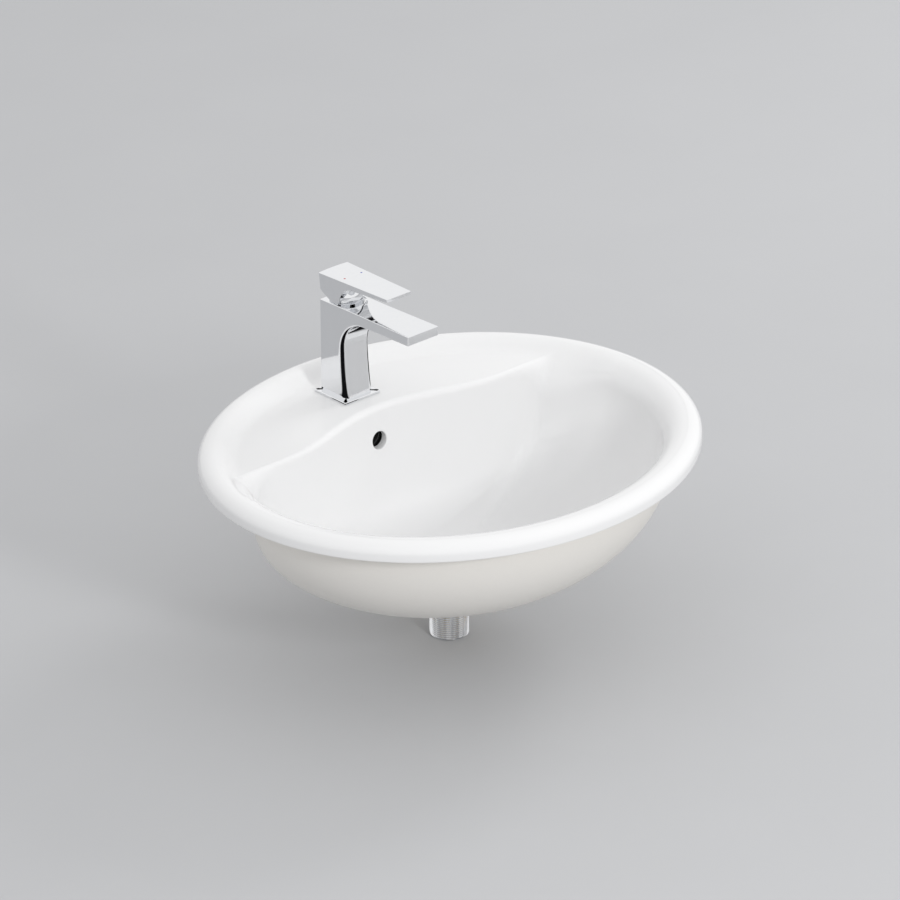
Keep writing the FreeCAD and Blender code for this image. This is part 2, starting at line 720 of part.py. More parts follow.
# Mixer body: side outline padded across, front corners rounded less and less towards the spout
body_pad = padded("tap_body_pad", "YZ_Plane", [[
    ("column_width / 2", plate_top),
    ("column_width / 2", column_top),
    ("-spout_reach", "deck_level + tip_height"),
    ("-spout_reach", tip_under),
    (f"{waist} - arch_radius", "deck_level + arch_height", "arch_radius", -1),
    (waist, "deck_level + arch_height - arch_radius",
     f"({waist_span} * {waist_span} + waist_depth * waist_depth) / (2 * waist_depth)", -1),
    ("-column_width / 2", plate_top),
]], "column_width", at_tap)


def front_radii(edge):
    large = num("column_round")
    small = num("edge_round")
    arch_end = num("deck_level + arch_height")
    arch_start = num("deck_level + arch_height - arch_radius")
    box = edge.BoundBox
    if box.XLength > 1e-4:
        return None
    if box.ZMin > arch_end - 1e-3 and box.ZMax < num(tip_under) + 1e-3 and box.YLength > 1:
        return small, small
    if box.YMax > num(f"tap_back + {waist}") + 1e-3:
        return None
    if abs(box.ZMin - arch_start) < 1e-3 and abs(box.ZMax - arch_end) < 1e-3:
        rising = edge.valueAt(edge.FirstParameter).z < edge.valueAt(edge.LastParameter).z
        return (large, small) if rising else (small, large)
    if abs(box.ZMax - arch_start) < 1e-3:
        return large, large
    return None


body_round = rounded("tap_body_round", body_pad, front_radii)
tap_blank = fused("tap_blank", [
    body_round,
    rod("spigot", "spigot_radius", "spigot_length + 1", ("0", "tap_back", foot)),
])
tap_tools = [
    rod("cartridge_bore", "bore_radius", "column_height", ("0", "tap_back", seat)),
    rod("counterbore", "counterbore_radius", "column_height",
        ("0", "tap_back", f"{column_top} - counterbore_depth")),
    rod("dome_seat", f"{dome_foot} + play", "column_height", ("0", "tap_back", column_top)),
    rod("stud_hole", "stud_radius", "stud_grip + 1", ("0", "tap_back - stud_front", f"{foot} - 1")),
    rod("outlet", "supply_radius", "outlet_front - bore_radius + 4",
        ("0", "tap_back - outlet_front", "deck_level + outlet_rise"), "y"),
    rod("riser", "supply_radius", "spout_way_rise - outlet_rise",
        ("0", "tap_back - outlet_front", "deck_level + outlet_rise")),
    rod("spout_way", "spout_way_radius", "aerator_front - outlet_front",
        ("0", "tap_back - aerator_front", "deck_level + spout_way_rise"), "y"),
    rod("aerator_pocket", "aerator_radius + fit", "aerator_depth + 10",
        ("0", "tap_back - aerator_front", f"{tip_under} - 10")),
]
for side, sign in (("hot", "-"), ("cold", "")):
    tap_tools.append(rod(side + "_inlet", "inlet_radius", "inlet_length + 1",
                         (f"{sign}inlet_side", "tap_back + inlet_back", f"{foot} - 1")))
    tap_tools.append(rod(side + "_way", "supply_radius", f"{seat} - ({foot}) + 1",
                         (f"{sign}inlet_side", "tap_back + inlet_back", foot)))
keep(cut("tap_body", tap_blank, tap_tools), "tap_body")

# Base plate and its seal
plate_block = block("plate_block", "plate_width", "plate_width", "plate_thickness",
                    ("-plate_width / 2", "tap_back - plate_width / 2", "deck_level"))


def plate_radii(edge):
    radius = num("edge_round")
    box = edge.BoundBox
    if is_upright(edge) or box.ZMin > num(plate_top) - 1e-3:
        return radius, radius
    return None


plate_round = rounded("plate_round", plate_block, plate_radii)
keep(cut("base_plate", plate_round, [
    rod("plate_hole", "spigot_radius + fit", "plate_thickness + 2", ("0", "tap_back", "deck_level - 1")),
    rod("plate_recess", "seal_radius", "seal_thickness + 1", ("0", "tap_back", "deck_level - 1")),
]), "base_plate")
keep(turned("base_seal", [
    ("tap_hole_radius + 0.5", "deck_level"),
    ("seal_radius - fit", "deck_level"),
    ("seal_radius - fit", "deck_level + seal_thickness"),
    ("tap_hole_radius + 0.5", "deck_level + seal_thickness"),
], at_tap), "base_seal")


# Cartridge, from its gasket up to the spindle
def ports(label, radius):
    spots = [("hot", "-inlet_side"), ("cold", "inlet_side")]
    return [
        rod(f"{label}_port_{side}", radius, "40", (across, "tap_back + inlet_back", f"{seat} - 10"))
        for side, across in spots
    ]


def plate_of(label, radius, low, high):
    return rod(label, radius, f"{high} - ({low})", ("0", "tap_back", low))


keep(cut("port_gasket", plate_of("port_gasket_blank", housing_radius, seat, gasket_top),
         ports("gasket", "supply_radius")), "port_gasket")
keep(cut("cartridge_base", plate_of("cartridge_base_blank", housing_radius, gasket_top, base_top),
         ports("base", "supply_radius")), "cartridge_base")
keep(cut("fixed_disc", plate_of("fixed_disc_blank", "fixed_radius", base_top, fixed_top),
         ports("disc", "supply_radius - 0.5")), "fixed_disc")
keep(cut("moving_disc", plate_of("moving_disc_blank", "moving_radius", fixed_top, moving_top), [
    rod("mixing_hollow", "moving_radius / 2", "disc_height / 2 + 1", ("0", "tap_back", f"{fixed_top} - 1")),
]), "moving_disc")
keep(cut("disc_carrier", plate_of("disc_carrier_blank", "moving_radius", moving_top, carrier_top), [
    rod("ball_socket", "socket_radius", "carrier_height",
        ("0", "tap_back", f"{pivot} - ball_arm - ball_radius - 1")),
]), "disc_carrier")

guide_top = f"{pivot} + guide_half"
housing_top = f"{guide_top} + fit + housing_lip"
shoulder = f"{column_top} - counterbore_depth"
housing_blank = turned("cartridge_housing_blank", [
    (housing_bore, base_top),
    (housing_radius, base_top),
    (housing_radius, shoulder),
    ("counterbore_radius - play", shoulder),
    ("counterbore_radius - play", f"{shoulder} + shoulder_height"),
    (housing_radius, f"{shoulder} + shoulder_height"),
    (housing_radius, housing_top),
    (f"{housing_bore} - lip_reach", housing_top),
    (f"{housing_bore} - lip_reach", f"{guide_top} + fit"),
    (housing_bore, f"{guide_top} + fit"),
], at_tap)
keep(cut("cartridge_housing", housing_blank, [
    rod("outlet_window", "supply_radius", "bore_radius",
        ("0", "tap_back - bore_radius - 2", "deck_level + outlet_rise"), "y"),
]), "cartridge_housing")
keep(turned("cartridge_nut", [
    (f"{housing_radius} + fit", f"{shoulder} + shoulder_height"),
    ("counterbore_radius - fit", f"{shoulder} + shoulder_height"),
    ("counterbore_radius - fit", column_top),
    (f"{housing_radius} + fit", column_top),
], at_tap), "cartridge_nut")
spindle_slot = "spindle_width / 2 + fit"
guide_low = f"{pivot} - guide_half"
guide_blank = plate_of("spindle_guide_blank", f"{housing_bore} - fit", guide_low, guide_top)
keep(cut("spindle_guide", guide_blank, [
    block("guide_slot", f"2 * ({spindle_slot})", "2 * spindle_width + 2", "2 * guide_half + 2",
          (f"-({spindle_slot})", "tap_back - spindle_width - 1", f"{guide_low} - 1")),
    rod("guide_pin_hole", "pin_radius + fit", "60", ("-30", "tap_back", pivot), "x"),
]), "spindle_guide")
keep(rod("pivot_pin", "pin_radius", "2 * pin_half", ("-pin_half", "tap_back", pivot), "x"), "pivot_pin")
ball = doc.addObject("Part::Sphere", "ball")
bind(ball, "Radius", "ball_radius")
locate(ball, ("0", "tap_back", f"{pivot} - ball_arm"))
spindle_low = "spindle_width / 2 + 1"
keep(cut("lever_spindle", fused("lever_spindle_blank", [
    ball,
    rod("spindle_neck", "ball_radius - 0.6", f"ball_arm - ({spindle_low}) + 1",
        ("0", "tap_back", f"{pivot} - ball_arm")),
    block("spindle_square", "spindle_width", "spindle_width", f"spindle_top + {spindle_low}",
          ("-spindle_width / 2", "tap_back - spindle_width / 2", f"{pivot} - ({spindle_low})")),
]), [
    rod("spindle_pin_hole", "pin_radius + fit", "60", ("-30", "tap_back", pivot), "x"),
]), "lever_spindle")
dome_inner = "(dome_radius - dome_wall)"
keep(turned("dome_cover", [
    (dome_foot, column_top, "dome_radius", 1),
    ("dome_open", f"{pivot} + sqrt(dome_radius * dome_radius - dome_open * dome_open)"),
    ("dome_open", f"{pivot} + sqrt({dome_inner} * {dome_inner} - dome_open * dome_open)",
     dome_inner, -1),
    (f"sqrt({dome_inner} * {dome_inner} - pivot_rise * pivot_rise)", column_top),
], at_tap), "dome_cover")

# Lever: side outline padded across, trimmed to its tapering plan, hollowed around the dome
lever_side = padded("lever_side", "YZ_Plane", [[
    ("lever_rear", "lever_rear_top"),
    ("-lever_front", "lever_tip_top"),
    ("0.4 - lever_front", "lever_tip_top - lever_thickness"),
    ("-lever_arch_front", "lever_arch_rise", "lever_arch", -1),
    ("0.99 * lever_arch - lever_arch_front", "lever_arch_rise - 0.8589 * lever_arch"),
    ("-0.4 * lever_heel", "-lever_skirt"),
    ("0.12 * lever_heel", "-lever_skirt"),
    ("lever_heel", "lever_heel_rise"),
]], "3 * lever_rear_half", at_pivot)
lever_plan = padded("lever_plan", "XY_Plane", [[
    ("-lever_rear_half", "lever_rear - 1.2", "8 * lever_rear_half", -1),
    ("lever_rear_half", "lever_rear - 1.2"),
    ("lever_tip_half", "-lever_front - 1"),
    ("-lever_tip_half", "-lever_front - 1"),
]], "4 * lever_rear_top", at_pivot)
lever_common = doc.addObject("Part::Common", "lever_common")
lever_common.Base = lever_side
lever_common.Tool = lever_plan


def lever_radii(edge):
    radius = num("edge_round")
    if edge.BoundBox.ZMin > num(f"{pivot} + lever_arch_rise + 0.5"):
        return radius, radius
    return None


lever_round = rounded("lever_round", lever_common, lever_radii)
hollow = doc.addObject("Part::Sphere", "lever_hollow_ball")
bind(hollow, "Radius", "lever_hollow")
locate(hollow, at_pivot)
mark_level = ("lever_rear_top + (lever_tip_top - lever_rear_top) * (lever_rear + dot_front)"
              " / (lever_rear + lever_front) - dot_height + 0.1")
socket_width = "spindle_width + 2 * fit"
at_cap = ("0", "tap_back + lever_rear - 0.8 - cap_length", f"{pivot} + screw_rise")
lever_tools = [
    hollow,
    block("lever_socket", socket_width, socket_width, "spindle_top - 10 + fit",
          (f"-({socket_width}) / 2", f"tap_back - ({socket_width}) / 2", f"{pivot} + 10")),
    rod("screw_hole", "screw_radius", "2 * lever_rear", ("0", "tap_back", f"{pivot} + screw_rise"), "y"),
    rod("cap_hole", "cap_radius", "lever_rear", at_cap, "y"),
]
for label, sign in (("hot_dot", "-"), ("cold_dot", "")):
    place = (f"{sign}dot_side", "tap_back - dot_front", f"{pivot} + {mark_level}")
    keep(rod(label, "dot_radius", "dot_height", place), label)
    lever_tools.append(rod(label + "_hole", "dot_radius", "10", place))
keep(cut("lever_handle", lever_round, lever_tools), "lever_handle")
keep(rod("handle_screw", "screw_radius - fit", "screw_length",
         ("0", "tap_back + spindle_width / 2 + fit", f"{pivot} + screw_rise"), "y"), "handle_screw")
keep(rod("screw_cap", "cap_radius - fit", "cap_length", at_cap, "y"), "screw_cap")

# Aerator under the spout tip
at_aerator = ("0", "tap_back - aerator_front", "0")
pocket_top = f"{tip_under} + aerator_depth"
insert_top = f"{pocket_top} - washer_height"
aerator_end = f"{tip_under} - aerator_drop"
aerator_bore = "aerator_radius - aerator_wall"
keep(turned("aerator_washer", [
    (f"{aerator_bore} - 2", insert_top),
    ("aerator_radius", insert_top),
    ("aerator_radius", pocket_top),
    (f"{aerator_bore} - 2", pocket_top),
], at_aerator), "aerator_washer")
keep(turned("aerator_housing", [
    (f"{aerator_bore} - 0.8", aerator_end),
    ("aerator_radius - 0.5", aerator_end),
    ("aerator_radius", f"{aerator_end} + 0.5"),
    ("aerator_radius", insert_top),
    (aerator_bore, insert_top),
    (aerator_bore, f"{aerator_end} + 0.8"),
    (f"{aerator_bore} - 0.8", f"{aerator_end} + 0.8"),
], at_aerator), "aerator_housing")
jets = [rod("jet_centre", "jet_radius", "40", ("0", "tap_back - aerator_front", f"{tip_under} - 20"))]
INNER_JETS = 6
OUTER_JETS = 12
for ring, count in (("jet_inner", INNER_JETS), ("jet_outer", OUTER_JETS)):
    for step in range(count):
        across = round(math.cos(2 * math.pi * step / count), 6)
        along = round(math.sin(2 * math.pi * step / count), 6)
        spot = (f"{across} * {ring}", f"tap_back - aerator_front + {along} * {ring}", f"{tip_under} - 20")
        jets.append(rod(f"{ring}_{step}", "jet_radius", "40", spot))
insert_low = f"{aerator_end} + 0.8"
insert_blank = rod("aerator_insert_blank", f"{aerator_bore} - fit", f"{insert_top} - ({insert_low})",
                   ("0", "tap_back - aerator_front", insert_low))
keep(cut("aerator_insert", insert_blank, jets), "aerator_insert")

# Fixings under the deck
deck_under = "deck_level - deck_thickness"
gasket_low = f"{deck_under} - gasket_thickness"
washer_low = f"{gasket_low} - washer_thickness"
nut_low = f"{washer_low} - nut_height"
at_stud = "tap_back - stud_front"
stud_low = f"{foot} + stud_grip - stud_length"
keep(rod("fixing_stud", "stud_radius - fit", "stud_length", ("0", at_stud, stud_low)), "fixing_stud")
for label, low, height in (("fixing_gasket", gasket_low, "gasket_thickness"),
                           ("fixing_washer", washer_low, "washer_thickness")):
    keep(cut(label, rod(label + "_blank", "clamp_radius", height, ("0", "tap_back", low)), [
        rod(label + "_hole", "stud_radius + play", f"{height} + 2", ("0", at_stud, f"{low} - 1")),
        block(label + "_slot", "2 * clamp_slot", "2 * clamp_radius", f"{height} + 2",
              ("-clamp_slot", "tap_back + inlet_back - inlet_radius - 1", f"{low} - 1")),
    ]), label)
keep(cut("fixing_nut", prism("fixing_nut_blank", "nut_flats", "nut_height", ("0", at_stud, nut_low)), [
    rod("fixing_nut_hole", "stud_radius", "nut_height + 2", ("0", at_stud, f"{nut_low} - 1")),
]), "fixing_nut")

# Waste: flanged tube with overflow slots, clamped through the boss
at_waste = ("0", "waste_back", "0")
flange_low = f"{recess_floor} + waste_seal_thickness"
waste_top = f"{flange_low} + flange_thickness"
waste_end = f"{waste_top} - waste_length"
tube_bore = "thread_radius - waste_wall"
web_top = f"{waste_top} - web_drop"
web_low = f"{web_top} - web_thickness"
waste_gasket_low = f"{boss_end} - waste_gasket_thickness"
waste_nut_low = f"{waste_gasket_low} - waste_nut_height"
relief_top = f"{waste_nut_low} - relief_drop"
waste_blank = turned("waste_blank", [
    ("flange_radius", flange_low),
    ("flange_radius", f"{waste_top} - 0.8"),
    ("flange_radius - 0.8", waste_top),
    ("cone_radius", waste_top),
    (tube_bore, f"{waste_top} - cone_depth"),
    (tube_bore, web_top),
    ("hub_radius", web_top),
    ("hub_radius", web_low),
    (tube_bore, web_low),
    (tube_bore, waste_end),
    ("thread_radius - fit", waste_end),
    ("thread_radius - fit", f"{relief_top} - relief_height"),
    ("thread_radius - 1", f"{relief_top} - relief_height"),
    ("thread_radius - 1", relief_top),
    ("thread_radius - fit", relief_top),
    ("thread_radius - fit", flange_low),
], at_waste)
slot_low = "-bowl_depth - channel_wall + 1 - slot_height"
waste_tools = [
    block("slots_along", "slot_width", "2 * boss_radius", "slot_height",
          ("-slot_width / 2", "waste_back - boss_radius", slot_low)),
    block("slots_across", "2 * boss_radius", "slot_width", "slot_height",
          ("-boss_radius", "waste_back - slot_width / 2", slot_low)),
]
for step in range(6):
    across = round(math.cos(math.pi * step / 3), 6)
    along = round(math.sin(math.pi * step / 3), 6)
    spot = (f"{across} * web_hole_circle", f"waste_back + {along} * web_hole_circle", f"{web_low} - 1")
    waste_tools.append(rod(f"web_hole_{step}", "web_hole_radius", "web_thickness + 2", spot))
keep(cut("waste_body", waste_blank, waste_tools), "waste_body")
keep(turned("waste_seal", [
    ("thread_radius + play", recess_floor),
    ("flange_radius", recess_floor),
    ("flange_radius", flange_low),
    ("thread_radius + play", flange_low),
], at_waste), "waste_seal")
keep(turned("waste_gasket", [
    ("thread_radius + play", waste_gasket_low),
    ("waste_gasket_radius", waste_gasket_low),
    ("waste_gasket_radius", boss_end),
    ("thread_radius + play", boss_end),
], at_waste), "waste_gasket")
waste_nut_blank = prism("waste_nut_blank", "waste_nut_flats", "waste_nut_height",
                        ("0", "waste_back", waste_nut_low))
keep(cut("waste_nut", waste_nut_blank, [
    rod("waste_nut_hole", "thread_radius", "waste_nut_height + 2",
        ("0", "waste_back", f"{waste_nut_low} - 1")),
]), "waste_nut")

# Push-open plug, closed
plug_low = f"{waste_top} + plug_gap"
ring_low = f"{waste_top} - cone_depth * (cone_radius - ring_radius) / (cone_radius - ({tube_bore})) + 0.1"
keep(turned("plug_cap", [
    ("0", plug_low),
    ("plug_radius", plug_low),
    ("plug_radius", f"{plug_low} + plug_edge",
     "(plug_radius * plug_radius + plug_crown * plug_crown) / (2 * plug_crown)", 1),
    ("0", f"{plug_low} + plug_edge + plug_crown"),
], at_waste), "plug_cap")
keep(turned("plug_seal", [
    ("ring_radius - ring_width", ring_low),
    ("ring_radius", ring_low),
    ("ring_radius", plug_low),
    ("ring_radius - ring_width", plug_low),
], at_waste), "plug_seal")
spring_low = f"{web_top} + click_floor"
spring_top = f"{spring_low} + spring_length"
stem_low = f"{web_low} - tail_drop"
keep(turned("plug_stem", [
    ("0", stem_low),
    ("tail_radius", stem_low),
    ("tail_radius", spring_top),
    ("collar_radius", spring_top),
    ("collar_radius", f"{spring_top} + collar_height"),
    ("stem_radius", f"{spring_top} + collar_height"),
    ("stem_radius", plug_low),
    ("0", plug_low),
], at_waste), "plug_stem")
click_top = f"{spring_top} + collar_height + plug_lift + click_spare + click_cap_height"
keep(turned("click_housing", [
    ("tail_radius + fit", web_low),
    ("hub_radius - fit", web_low),
    ("hub_radius - fit", web_top),
    ("click_radius", web_top),
    ("click_radius", click_top),
    ("click_bore", click_top),
    ("click_bore", spring_low),
    ("tail_radius + fit", spring_low),
], at_waste), "click_housing")
keep(turned("click_cap", [
    ("stem_radius + fit", f"{click_top} - click_cap_height"),
    ("click_bore - fit", f"{click_top} - click_cap_height"),
    ("click_bore - fit", click_top),
    ("stem_radius + fit", click_top),
], at_waste), "click_cap")
keep(turned("click_spring", [
    ("tail_radius + play", spring_low),
    ("collar_radius", spring_low),
    ("collar_radius", spring_top),
    ("tail_radius + play", spring_top),
], at_waste), "click_spring")

# Check every object, then export
doc.recompute()
for item in doc.Objects:
    if "Invalid" in item.State or "Error" in item.State:
        raise ValueError(item.Name + " did not build")
os.makedirs("parts", exist_ok=True)
for item in nodes:
    if item.Shape.isNull() or not item.Shape.isValid():
        raise ValueError(item.Label + " is not a sound shape")
    item.Shape.exportStep(os.path.join("parts", item.Label + ".step"))
    print(item.Label, len(item.Shape.Solids), round(item.Shape.Volume))
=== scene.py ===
import json
import math
from types import SimpleNamespace

import bmesh
import bpy
import numpy as np
from numpy import cos, degrees, pi, radians, sin, sqrt
from mathutils import Matrix, Vector
from mathutils.geometry import delaunay_2d_cdt


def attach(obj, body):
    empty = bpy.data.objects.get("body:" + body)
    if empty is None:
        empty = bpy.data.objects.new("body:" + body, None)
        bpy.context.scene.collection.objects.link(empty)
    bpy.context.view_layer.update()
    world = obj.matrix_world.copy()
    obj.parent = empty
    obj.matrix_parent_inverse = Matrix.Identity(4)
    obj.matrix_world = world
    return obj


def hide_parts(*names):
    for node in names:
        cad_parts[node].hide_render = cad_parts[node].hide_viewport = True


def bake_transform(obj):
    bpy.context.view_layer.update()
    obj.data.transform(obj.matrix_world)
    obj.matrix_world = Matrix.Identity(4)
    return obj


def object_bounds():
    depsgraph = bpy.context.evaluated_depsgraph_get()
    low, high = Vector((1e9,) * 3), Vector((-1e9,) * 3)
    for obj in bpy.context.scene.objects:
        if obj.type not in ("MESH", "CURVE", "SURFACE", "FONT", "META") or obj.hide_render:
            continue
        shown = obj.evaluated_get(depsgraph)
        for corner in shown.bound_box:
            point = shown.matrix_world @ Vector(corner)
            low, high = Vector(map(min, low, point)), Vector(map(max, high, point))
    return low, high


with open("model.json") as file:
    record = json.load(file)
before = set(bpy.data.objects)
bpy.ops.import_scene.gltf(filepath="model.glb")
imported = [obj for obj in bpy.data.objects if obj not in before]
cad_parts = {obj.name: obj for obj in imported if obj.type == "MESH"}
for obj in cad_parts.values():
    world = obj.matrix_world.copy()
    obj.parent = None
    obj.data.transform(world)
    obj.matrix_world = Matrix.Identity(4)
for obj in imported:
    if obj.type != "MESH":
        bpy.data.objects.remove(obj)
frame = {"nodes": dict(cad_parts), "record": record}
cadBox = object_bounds()
nodes = frame["nodes"]
scene = bpy.context.scene
scene.view_settings.view_transform = "Standard"
mm = 0.001
print("stage: frame loaded,", len(nodes), "nodes")


# Shader wiring: a Wire is one socket, and arithmetic on it adds Math nodes
class Wire:
    def __init__(self, tree, socket=None):
        self.tree = tree
        self.socket = socket

    def node(self, kind, inputs=None, settings=None, out=0):
        made = self.tree.nodes.new("ShaderNode" + kind)
        for key, value in (settings or {}).items():
            setattr(made, key, value)
        for key, value in (inputs or {}).items():
            if isinstance(value, Wire):
                self.tree.links.new(value.socket, made.inputs[key])
            else:
                made.inputs[key].default_value = value
        return Wire(self.tree, made.outputs[out] if made.outputs else None)

    def sum(self, operation, first, second):
        return self.node("Math", {0: first, 1: second}, {"operation": operation})

    def __add__(self, other):
        return self.sum("ADD", self, other)

    def __rsub__(self, other):
        return self.sum("SUBTRACT", other, self)

    def __mul__(self, other):
        return self.sum("MULTIPLY", self, other)

    def between(self, first, second):  # colour mix by this value
        return self.node("Mix", {0: self, 6: first, 7: second}, {"data_type": "RGBA"}, 2)


# the start of an empty node tree
def emptyTree(owner):
    owner.use_nodes = True
    owner.node_tree.nodes.clear()
    return Wire(owner.node_tree)


def newMaterial(name):
    material = bpy.data.materials.new(name)
    return material, emptyTree(material)


def closeMaterial(root, inputs):
    surface = root.node("BsdfPrincipled", inputs)
    root.node("OutputMaterial", {"Surface": surface})


# noise over the object's own place, drawn out along each axis by stretch
def objectNoise(root, scale, detail=3.0, rough=0.5, stretch=(1, 1, 1)):
    place = root.node("TexCoord", out="Object")
    place = root.node("Mapping", {"Vector": place, "Scale": stretch})
    inputs = {"Vector": place, "Scale": scale, "Detail": detail, "Roughness": rough}
    return root.node("TexNoise", inputs)


def pointValue(root, label):
    return root.node("Attribute", None, {"attribute_name": label}, "Fac")


def bumpOf(root, height, strength, distance):
    return root.node("Bump", {"Strength": strength, "Distance": distance, "Height": height})


# Materials
# glazed white, bare bisque where the glaze value is low, and painted shade, near black, inside the
# overflow's bore
def chinaGlaze():
    look = {"white": (0.82, 0.82, 0.82, 1), "cool": (0.805, 0.807, 0.81, 1),
            "bisque": (0.74, 0.70, 0.63, 1), "chalk": (0.80, 0.77, 0.71, 1),
            "dark": (0.012, 0.012, 0.012, 1)}
    material, root = newMaterial("china_glaze")
    glazed, overflow_shade = pointValue(root, "glaze"), pointValue(root, "overflow_shade")
    broad = objectNoise(root, 9, 2)
    fine = objectNoise(root, 260, 4, 0.6)
    white = (broad * 0.8).between(look["white"], look["cool"])
    grain = (fine * 0.5).between(look["bisque"], look["chalk"])
    peel = objectNoise(root, 48, 2) * 0.6 + fine * 0.05
    # the base colour goes to near black by the overflow's painted shade value
    closeMaterial(root, {
        "Base Color": overflow_shade.between(glazed.between(grain, white), look["dark"]),
        "Roughness": 0.72 - glazed * 0.57 + broad * 0.04,
        "Coat Weight": glazed * 0.15, "Coat Roughness": 0.05, "IOR": 1.52,
        "Normal": bumpOf(root, peel, 0.05, 0.0006),
    })
    return material


# colour between two shades by a noise; roughness, a base and a spread, goes by the same noise or by
# a grain; the bump, a strength and a distance, goes by a relief or by what the roughness goes by
def plainFinish(name, pale, deep, noise, rough, grain=None, relief=None, bump=None, fixed=()):
    material, root = newMaterial(name)
    tone = objectNoise(root, *noise)
    fine = objectNoise(root, *grain) if grain else tone
    inputs = {"Base Color": tone.between(pale, deep), "Roughness": fine * rough[1] + rough[0]}
    if bump:
        inputs["Normal"] = bumpOf(root, objectNoise(root, *relief) if relief else fine, *bump)
    closeMaterial(root, {**inputs, **dict(fixed)})
    return material


metal = {"Metallic": 1.0}
plastic = dict(noise=(70, 3), grain=(900, 2), bump=(0.15, 0.0001))
turned = dict(noise=(90, 4, 0.6), relief=(300, 2, 0.5, (0.04, 0.04, 6)), bump=(0.12, 0.0002), fixed=metal)
enamel = dict(noise=(900, 2), rough=(0.12, 0.06), fixed={"Coat Weight": 0.5})
finishes = {
    "china": chinaGlaze(),
    "chrome": plainFinish(
        "chrome_plate", (0.80, 0.81, 0.83, 1), (0.84, 0.845, 0.855, 1), (160, 4, 0.65, (1, 1, 0.35)),
        (0.025, 0.05), relief=(42, 1), bump=(0.02, 0.0005), fixed=metal),
    "rubber": plainFinish(
        "black_rubber", (0.016, 0.016, 0.017, 1), (0.05, 0.05, 0.052, 1), (420, 5, 0.7),
        (0.55, 0.25), bump=(0.2, 0.0003)),
    "white_plastic": plainFinish(
        "white_plastic", (0.80, 0.80, 0.78, 1), (0.86, 0.86, 0.85, 1), rough=(0.35, 0.12), **plastic),
    "grey_plastic": plainFinish(
        "grey_plastic", (0.42, 0.42, 0.44, 1), (0.50, 0.50, 0.52, 1), rough=(0.40, 0.12), **plastic),
    "disc_ceramic": plainFinish(
        "ground_disc", (0.78, 0.76, 0.70, 1), (0.88, 0.87, 0.82, 1), (700, 4),
        (0.25, 0.1), bump=(0.05, 0.0001)),
    "brass": plainFinish(
        "turned_brass", (0.72, 0.55, 0.27, 1), (0.62, 0.45, 0.20, 1), rough=(0.20, 0.18), **turned),
    "steel": plainFinish(
        "zinc_steel", (0.60, 0.60, 0.61, 1), (0.50, 0.51, 0.52, 1), rough=(0.26, 0.18), **turned),
    "red_enamel": plainFinish("red_enamel", (0.42, 0.012, 0.012, 1), (0.50, 0.02, 0.02, 1), **enamel),
    "blue_enamel": plainFinish("blue_enamel", (0.012, 0.04, 0.36, 1), (0.02, 0.06, 0.44, 1), **enamel),
}
slotOf = {row["node"]: row["material_slot"] for row in frame["record"]["subparts"]}
for name, solid in nodes.items():
    solid.data.materials.clear()
    solid.data.materials.append(finishes[slotOf[name]])
print("stage: materials,", len(finishes))


# Meshes from arrays
def addObject(name, data):
    item = bpy.data.objects.new(name, data)
    scene.collection.objects.link(item)
    return item


def addMesh(name, points, faces, material):
    mesh = bpy.data.meshes.new(name)
    mesh.from_pydata(points, [], faces)
    mesh.materials.append(material)
    return addObject(name, mesh)


# a piece of points in mm, with edges sharper than an angle kept hard, that stands for one node
def makePiece(name, body, slot, points, faces, sharp, stands, normals=()):
    points = np.reshape(points, (-1, 3))
    piece = addMesh(name, (points * mm).tolist(), faces, finishes[slot])
    mesh = piece.data
    work = bmesh.new()
    work.from_mesh(mesh)
    bmesh.ops.recalc_face_normals(work, faces=work.faces)
    work.to_mesh(mesh)
    work.free()
    mesh.shade_smooth()
    mesh.set_sharp_from_angle(angle=radians(sharp))
    if len(normals):  # rows of zeros, and points past the last row, keep Blender's own normal
        normals = np.reshape(normals, (-1, 3))
        rest = np.zeros((len(points) - len(normals), 3))
        mesh.normals_split_custom_set_from_vertices(np.vstack([normals, rest]).tolist())
    if isinstance(body, str):
        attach(piece, body)
    else:  # two bodies and the end points between them, which are not used; the piece is only baked in place
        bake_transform(piece)
    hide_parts(stands)
    return piece


# one value for each point, given in runs, for the materials to read
def setPointValue(piece, label, *runs):
    layer = piece.data.attributes.new(label, "FLOAT", "POINT")
    layer.data.foreach_set("value", np.concatenate(runs).astype(np.float32))


# quads between neighbours in a grid of numbered points
def gridQuads(rows, columns, wrapRows=False, wrapColumns=True):
    r = np.arange(rows if wrapRows else rows - 1)[:, None]
    c = np.arange(columns if wrapColumns else columns - 1)[None, :]
    rNext = (r + 1) % rows
    cNext = (c + 1) % columns
    quads = [r * columns + c, r * columns + cNext, rNext * columns + cNext, rNext * columns + c]
    return np.stack(np.broadcast_arrays(*quads), -1)


# faces of a stack of rings: the last one joins the first, or else both ends get a lid
def stackFaces(rows, columns, wrapRows=False):
    faces = gridQuads(rows, columns, wrapRows).reshape(-1, 4).tolist()
    if not wrapRows:
        faces += [list(range(columns)), list(range((rows - 1) * columns, rows * columns))]
    return faces


# adds rings of points, joined one to the next and to a loop that is there; gives their numbers
def addRings(points, faces, rings, loop=None, lid=False):
    numbers = np.arange(len(rings) * len(rings[0])).reshape(len(rings), -1) + sum(map(len, points))
    chain = numbers if loop is None else [loop, *numbers]
    for first, second in zip(chain[:-1], chain[1:]):
        faces.extend(np.stack([first, np.roll(first, -1), np.roll(second, -1), second], -1).tolist())
    if lid:
        faces.append(numbers[-1].tolist())
    points.append(np.reshape(rings, (-1, 3)))
    return numbers


# leaves a block of quads out and gives the numbers of the points around it
def openBlock(index, keep, r0, r1, c0, c1):
    keep[r0:r1, c0:c1] = False
    return np.concatenate([index[r0, c0:c1], index[r0:r1, c1], index[r1, c1:c0:-1], index[r1:r0:-1, c0]])


# angles of a full turn in equal steps
def fullTurn(count):
    return 2 * pi * np.arange(count) / count


